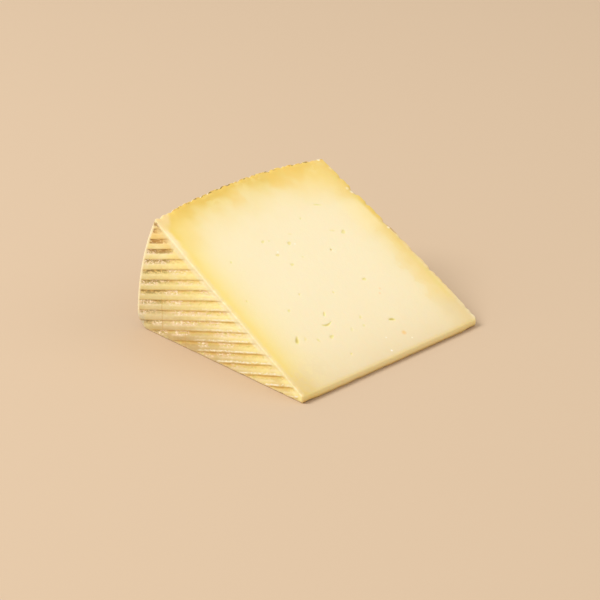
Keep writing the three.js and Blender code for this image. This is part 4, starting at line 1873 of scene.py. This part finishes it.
@dataclass(frozen=True)
class Rind:
    """Natural dry rind, rubbed clean: matt pale gold, browned and moulded down in its grooves."""

    name: str = "manchego_rind"
    ground: str = "F0DD96"
    layers: tuple[Layer, ...] = (
        # Over the ground: painted light by the upper cut, browner at the tip, painted shade below
        Layer("F3E8B8", 0.5, (("broad", 0.45, 0.66),)),
        # Painted light: paler and lemon beside the upper cut
        Layer("FFF2A4", 0.5, (("from_upper_cut", 16.0, 3.0), ("from_side", 4.0, 15.0))),
        Layer("D2B070", 0.45, (("y", 27.0, 19.0), ("from_upper_cut", 2.0, 5.0))),
        # Painted shade: darker the farther down the face from the upper cut
        Layer("D6C48A", 0.85, (("from_upper_cut", 5.0, 40.0),)),
        # Painted shade towards the bottom of the face, partly mould dulling it
        Layer("C0A068", 0.75, (("z", 17.0, 3.0), ("from_side", 84.0, 28.0),
                               ("from_side", -14.0, 24.0), ("middle", 0.15, 0.5))),
        # Each groove is golden under its rib, partly painted shade; the line browns towards the rim
        Layer("DFB254", 0.7, (("share", 0.48, 0.03), ("pressed", 0.1, 0.9),
                              ("streak", 0.2, 0.5))),
        # Painted shade on the underside of each lip, tinted golden
        Layer("E3BC62", 0.5, (("share", 0.88, 0.96), ("pressed", 0.2, 1.0))),
        Layer("D0A450", 0.32, (("share", 0.26, 0.1), ("pressed", 0.2, 1.0),
                               ("from_upper_cut", 1.0, 6.0), ("streak", 0.4, 0.58))),
        Layer("8A5F30", 0.42, (("share", 0.3, 0.12), ("pressed", 0.3, 0.9),
                               ("from_side", 25.0, 8.0), ("from_upper_cut", 2.0, 7.0),
                               ("blot", 0.38, 0.56))),
        Layer("F3DFC0", 0.3, (("share", 0.26, 0.46), ("share", 0.64, 0.52),
                              ("pressed", 0.3, 0.8), ("patch", 0.45, 0.55))),
        # Painted highlight along each rib's crest, speckled, partly bloom
        Layer("FFF7D6", 0.75, (("share", 0.72, 0.82), ("share", 0.94, 0.89),
                               ("pressed", 0.3, 0.9), ("from_side", 24.0, 52.0),
                               ("streak", 0.6, 0.46))),
        # Mould and bloom on the grooves' floors
        Layer("D2C66C", 0.55, (("groove", 0.3, 0.6), ("blot", 0.56, 0.48), ("fleck", 0.5, 0.58))),
        Layer("EED2AE", 0.65, (("groove", 0.25, 0.45), ("patch", 0.44, 0.56),
                               ("from_side", 68.0, 44.0), ("fleck", 0.53, 0.46))),
        Layer("85652F", 0.62, (("groove", 0.35, 0.7), ("from_side", 20.0, 9.0),
                               ("from_upper_cut", 1.5, 4.0), ("fleck", 0.42, 0.55))),
        Layer("94894E", 0.42, (("groove", 0.35, 0.7), ("from_side", 23.0, 9.0),
                               ("dust", 0.5, 0.62))),
        Layer("FAEACC", 0.75, (("groove", 0.25, 0.45), ("patch", 0.46, 0.56),
                               ("from_side", 70.0, 46.0), ("speck", 0.54, 0.62))),
        # The face's high corner golden, its foot pale, and the rim browner towards the top
        Layer("F8DA88", 0.35, (("z", 28.0, 36.0), ("from_side", 11.0, 16.0),
                               ("from_near", 2.0, 1.0))),
        Layer("F0E0B4", 0.3, (("z", 15.0, 9.0), ("z", 2.0, 7.0), ("from_side", 32.0, 20.0),
                              ("from_side", 2.0, 8.0), ("from_near", 2.0, 1.0))),
        Layer("EFCB74", 0.5, (("z", 36.0, 42.0), ("from_side", 17.0, 11.0),
                              ("from_near", 2.0, 1.0))),
        Layer("9C661E", 0.85, (("groove", 0.25, 0.6), ("from_side", 18.0, 7.0),
                               ("z", 31.0, 40.0), ("fleck", 0.34, 0.48))),
        # Painted highlight on the ribs' crests towards the tip, partly bloom left on them
        Layer("FFF9E6", 0.75, (("share", 0.68, 0.8), ("share", 0.95, 0.9), ("pressed", 0.3, 0.9),
                               ("from_side", 28.0, 54.0), ("speck", 0.52, 0.6))),
        # The side, which the band kept from the air, and the plait's shadows on it
        Layer("DCB97C", 0.8, (("from_side", 3.0, 1.5), ("from_near", 2.0, 4.0),
                              ("from_far", 2.0, 4.0), ("broad", 0.2, 0.56))),
        Layer("F0DBA8", 0.5, (("from_side", 3.0, 1.5), ("from_near", 2.0, 4.0),
                              ("from_far", 2.0, 4.0), ("plait", 0.3, 0.0), ("middle", 0.42, 0.6))),
        Layer("C08F48", 0.85, (("plait", 0.15, 0.8), ("middle", 0.2, 0.6))),
        Layer("7A5A2E", 0.8, (("plait", 0.4, 0.95), ("fine", 0.42, 0.6))),
        Layer("9C9670", 0.35, (("from_near", 1.0, 3.0), ("from_far", 1.0, 3.0),
                               ("fine", 0.6, 0.7))),
        Layer("E2BE7C", 0.35, (("from_far", 3.0, 1.5),)),
        # Two faint dark lines across the ribs
        Layer("C99A50", 0.5, (("y", 70.4, 70.8), ("y", 71.2, 70.8), ("z", 9.0, 7.5),
                              ("from_near", 2.0, 1.0))),
        Layer("C99A50", 0.5, (("y", 83.9, 84.3), ("y", 84.7, 84.3), ("z", 17.5, 16.0),
                              ("z", 3.5, 4.5), ("from_near", 2.0, 1.0))),
        # Rubbed rims, the knife's smear with a painted highlight, the browner top corner, the
        # lowest corner's dry crust
        Layer("F6E7BE", 0.9, (("from_side", 1.9, 1.2), ("from_near", 1.5, 0.8))),
        Layer("F3E0B0", 0.7, (("from_side", 2.2, 1.2), ("from_far", 1.5, 0.8))),
        # The knife's pale smear by the upper cut, partly painted highlight along that edge
        Layer("F1E3AC", 0.75, (("smeared", 2.8, 1.3),)),
        Layer("FCF3CC", 0.72, (("smeared", 4.7, 2.7), ("y", 18.0, 30.0),
                               ("from_side", 5.0, 12.0), ("from_near", 1.8, 0.8))),
        Layer("EEDFA8", 0.6, (("rubbed", 6.2, 2.8),)),
        Layer("D9B678", 0.6, (("from_far", 1.4, 0.6), ("from_upper_cut", 2.6, 1.0))),
        Layer("EDC672", 0.4, (("z", 38.0, 43.0), ("from_side", 15.0, 9.0), ("from_side", 1.5, 3.0),
                              ("from_near", 1.5, 0.8), ("from_upper_cut", 0.8, 2.0))),
        Layer("A2742E", 0.85, (("y", 83.6, 85.0), ("y", 88.4, 87.0), ("z", 46.0, 47.2),
                               ("from_near", 1.5, 0.8), ("fine", 0.36, 0.5))),
        # Painted highlight on the very edge of the upper cut, broken by a fine cloud
        Layer("F6E4BE", 0.6, (("from_upper_cut", 1.2, 0.4), ("fine", 0.46, 0.56))),
        Layer("E6D3A2", 0.4, (("from_lower_cut", 1.4, 0.5),)),
        Layer("D0C4A8", 0.7, (("from_side", 6.5, 3.5), ("from_lower_cut", 8.0, 4.0),
                              ("from_near", 9.0, 4.0), ("fine", 0.3, 0.5))),
    )

    # Strength and height of the bump, and how much light goes under the surface and how deep
    bump: tuple[float, float] = (0.6, 0.3)
    seen_through: tuple[float, float] = (0.08, 1.5)

    # Patches, scuffs and crumbs, and five drawn out along the ribs as the mould and the bloom
    # lie; the dust is finer in truth, and as coarse here as it needs to show
    CLOUDS = {
        "broad": Cloud((13.0,) * 3),
        "middle": Cloud((4.2,) * 3),
        "fine": Cloud((1.5,) * 3),
        "dust": Cloud((0.6,) * 3),
        "streak": Cloud((6.5, 1.6, 1.0), 2.0, on_print=True),
        "blot": Cloud((3.2, 1.2, 1.0), 2.0, on_print=True),
        "patch": Cloud((12.0, 6.0, 1.0), 1.0, on_print=True),
        "fleck": Cloud((2.1, 0.9, 1.0), 2.0, on_print=True),
        "speck": Cloud((1.5, 0.8, 1.0), 1.0, on_print=True),
    }
    BLENDS = {
        "smeared": ("from_upper_cut", "middle", 2.0),
        "rubbed": ("smeared", "from_side", 0.03),
    }

    def material(self, axis: Vector) -> bpy.types.Material:
        """Makes the rind's material.

        Args:
            axis: Where the wheel's axis meets the near face, in the row frame.

        Returns:
            The material.
        """
        finish = Finish(self.name, axis, self.CLOUDS, self.BLENDS)
        colour = finish.layered(linear(self.ground), self.layers)
        return finish.shaded(colour, ("fine", "dust"), self.bump, self.seen_through)


@dataclass
class ManchegoWedge:
    """The whole wedge: its body, the prints in its rind and its two finishes."""

    wheel: Wheel = Wheel()
    nose: Nose = Nose()
    near: BoardPrint = BoardPrint(
        part=Part.NEAR_FACE,
        distance_name="from_near",
        direction=math.radians(-17.5),
        first_lip=65.38,
        inward=1.0,
        rim_margin=1.1,
        left_at_cut=0.0,
        cut_margin=5.6,
        fray=4.0,
        narrowing=0.035,
        seed=3.0,
    )
    far: BoardPrint = BoardPrint(
        part=Part.FAR_FACE,
        distance_name="from_far",
        direction=math.radians(9.4),
        first_lip=64.0,
        inward=-1.0,
        rim_margin=1.6,
        left_at_cut=0.4,
        cut_margin=2.4,
        fray=0.9,
        narrowing=0.0,
        seed=8.0,
    )
    plait: PlaitPrint = PlaitPrint()
    rib_steps: dict[Part, float] = field(
        default_factory=lambda: {Part.NEAR_FACE: 0.45, Part.FAR_FACE: 0.6}
    )

    @property
    def axis(self) -> Vector:
        """Returns where the wheel's axis meets the near face, in the row frame."""
        low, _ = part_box(NODE)
        return Vector((low.x, low.y - self.nose.front * MM, low.z))

    def build(self) -> bpy.types.Object:
        """Builds the body, dresses it, and presses the prints into its rind.

        Returns:
            The finished wedge as one plain mesh in the row frame.
        """
        eyes = {Part.LOWER_CUT: LOWER_EYES, Part.UPPER_CUT: UPPER_EYES}
        body = WedgeBody(
            self.wheel, self.nose, self.near, self.far, eyes, WORN_EDGES, self.rib_steps
        )
        piece = body.build("manchego_wedge")
        piece.data.materials.append(Paste().material(self.axis, self.nose.angle))
        rind = Rind().material(self.axis)
        PlaitTree("plait_print", PlaitPrint).attach(piece, self.plait, rind)
        boards = BoardTree("board_print", BoardPrint)
        for board in (self.near, self.far):
            boards.attach(piece, board, rind)
        self.settle(piece)
        return piece

    def settle(self, piece: bpy.types.Object) -> None:
        """Makes the pressed wedge a plain mesh and moves it to the row frame, in metres.

        Args:
            piece: The wedge with its modifiers, which are taken off.
        """
        graph = bpy.context.evaluated_depsgraph_get()
        mesh = bpy.data.meshes.new_from_object(
            piece.evaluated_get(graph), preserve_all_data_layers=True, depsgraph=graph
        )
        piece.modifiers.clear()
        piece.data = mesh
        mesh.transform(Matrix.Translation(self.axis) @ Matrix.Scale(MM, 4))
        mesh.shade_smooth()
        mesh.update()


@dataclass(frozen=True)
class MattSheet:
    """A matt pale sheet under the wedge, which takes its shadow softly and shows no shine."""

    name: str = "matt_pale_sheet"
    colour: str = "CDB498"
    roughness: float = 0.9
    specular: float = 0.2

    def material(self) -> bpy.types.Material:
        """Makes the sheet's material.

        Returns:
            The material.
        """
        made = bpy.data.materials.new(self.name)
        made.use_nodes = True
        made.node_tree.nodes.clear()
        shader = add_node(
            made.node_tree,
            "ShaderNodeBsdfPrincipled",
            None,
            {
                "Base Color": linear(self.colour),
                "Roughness": self.roughness,
                "Specular IOR Level": self.specular,
            },
        ).outputs[0]
        add_node(made.node_tree, "ShaderNodeOutputMaterial", None, {"Surface": shader})
        return made


@dataclass
class Studio:
    """A plain pale floor, soft light and the photograph's camera."""

    floor_size: float = 16.0
    sheet: MattSheet = MattSheet()
    lens: float = 121.56
    sensor: float = 36.0
    clip: tuple[float, float] = (0.01, 20.0)
    # Where the camera stands, in millimetres from the wheel's axis, and its own three axes
    stand: tuple[float, float, float] = (-460.0, -468.1, 345.5)
    right: tuple[float, float, float] = (0.7180, -0.6961, -0.0010)
    up: tuple[float, float, float] = (0.2913, 0.2992, 0.9086)
    back: tuple[float, float, float] = (-0.6322, -0.6527, 0.4176)
    sky: float = 0.68
    sky_colour: str = "FFFDF8"
    # Place, size and power of each lamp; all of them face the wedge
    lamps: tuple[tuple[str, tuple[float, float, float], float, float], ...] = (
        ("key", (-1.0, 0.75, 1.5), 1.1, 27.0),
        ("fill", (0.9, -1.2, 1.3), 1.4, 4.5),
    )

    def floor(self) -> bpy.types.Object:
        """Lays the floor, a sheet that runs out of view on all sides.

        Returns:
            The floor.
        """
        half = self.floor_size / 2
        mesh = bpy.data.meshes.new("floor")
        corners = [(-half, -half, 0), (half, -half, 0), (half, half, 0), (-half, half, 0)]
        mesh.from_pydata(corners, [], [(0, 1, 2, 3)])
        mesh.materials.append(self.sheet.material())
        floor = bpy.data.objects.new("floor", mesh)
        bpy.context.scene.collection.objects.link(floor)
        return floor

    def light(self) -> None:
        """Adds the lamps and the sky."""
        for name, place, size, power in self.lamps:
            data = bpy.data.lights.new(name, "AREA")
            data.shape, data.size, data.energy = "DISK", size, power
            lamp = bpy.data.objects.new(name, data)
            lamp.location = place
            lamp.rotation_euler = Vector(place).to_track_quat("Z", "Y").to_euler()
            bpy.context.scene.collection.objects.link(lamp)
        world = bpy.data.worlds.new("sky")
        world.use_nodes = True
        ground = world.node_tree.nodes["Background"]
        ground.inputs["Color"].default_value = linear(self.sky_colour)
        ground.inputs["Strength"].default_value = self.sky
        bpy.context.scene.world = world

    def camera(self, axis: Vector) -> None:
        """Adds the camera.

        Args:
            axis: Where the wheel's axis meets the near face, in the row frame.
        """
        data = bpy.data.cameras.new("camera")
        data.lens, data.sensor_width, data.sensor_fit = self.lens, self.sensor, "HORIZONTAL"
        data.clip_start, data.clip_end = self.clip
        camera = bpy.data.objects.new("camera", data)
        turn = Matrix((self.right, self.up, self.back)).transposed()
        camera.matrix_world = (
            Matrix.Translation(axis + Vector(self.stand) * MM) @ turn.normalized().to_4x4()
        )
        bpy.context.scene.collection.objects.link(camera)
        bpy.context.scene.camera = camera
        bpy.context.scene.view_settings.view_transform = "Standard"


def main() -> None:
    """Builds the wedge and the studio."""
    logging.basicConfig(level=logging.INFO, format="%(name)s: %(message)s")
    wedge = ManchegoWedge()
    piece = wedge.build()
    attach(piece, BODY)
    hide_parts(NODE)
    LOG.info("%s: %d faces", piece.name, len(piece.data.polygons))

    studio = Studio()
    floor = studio.floor()
    LOG.info("%s: %.0f m across", floor.name, studio.floor_size)
    studio.light()
    studio.camera(wedge.axis)
    LOG.info("studio: %d lamps", len(studio.lamps))


if __name__ == "__main__":
    main()
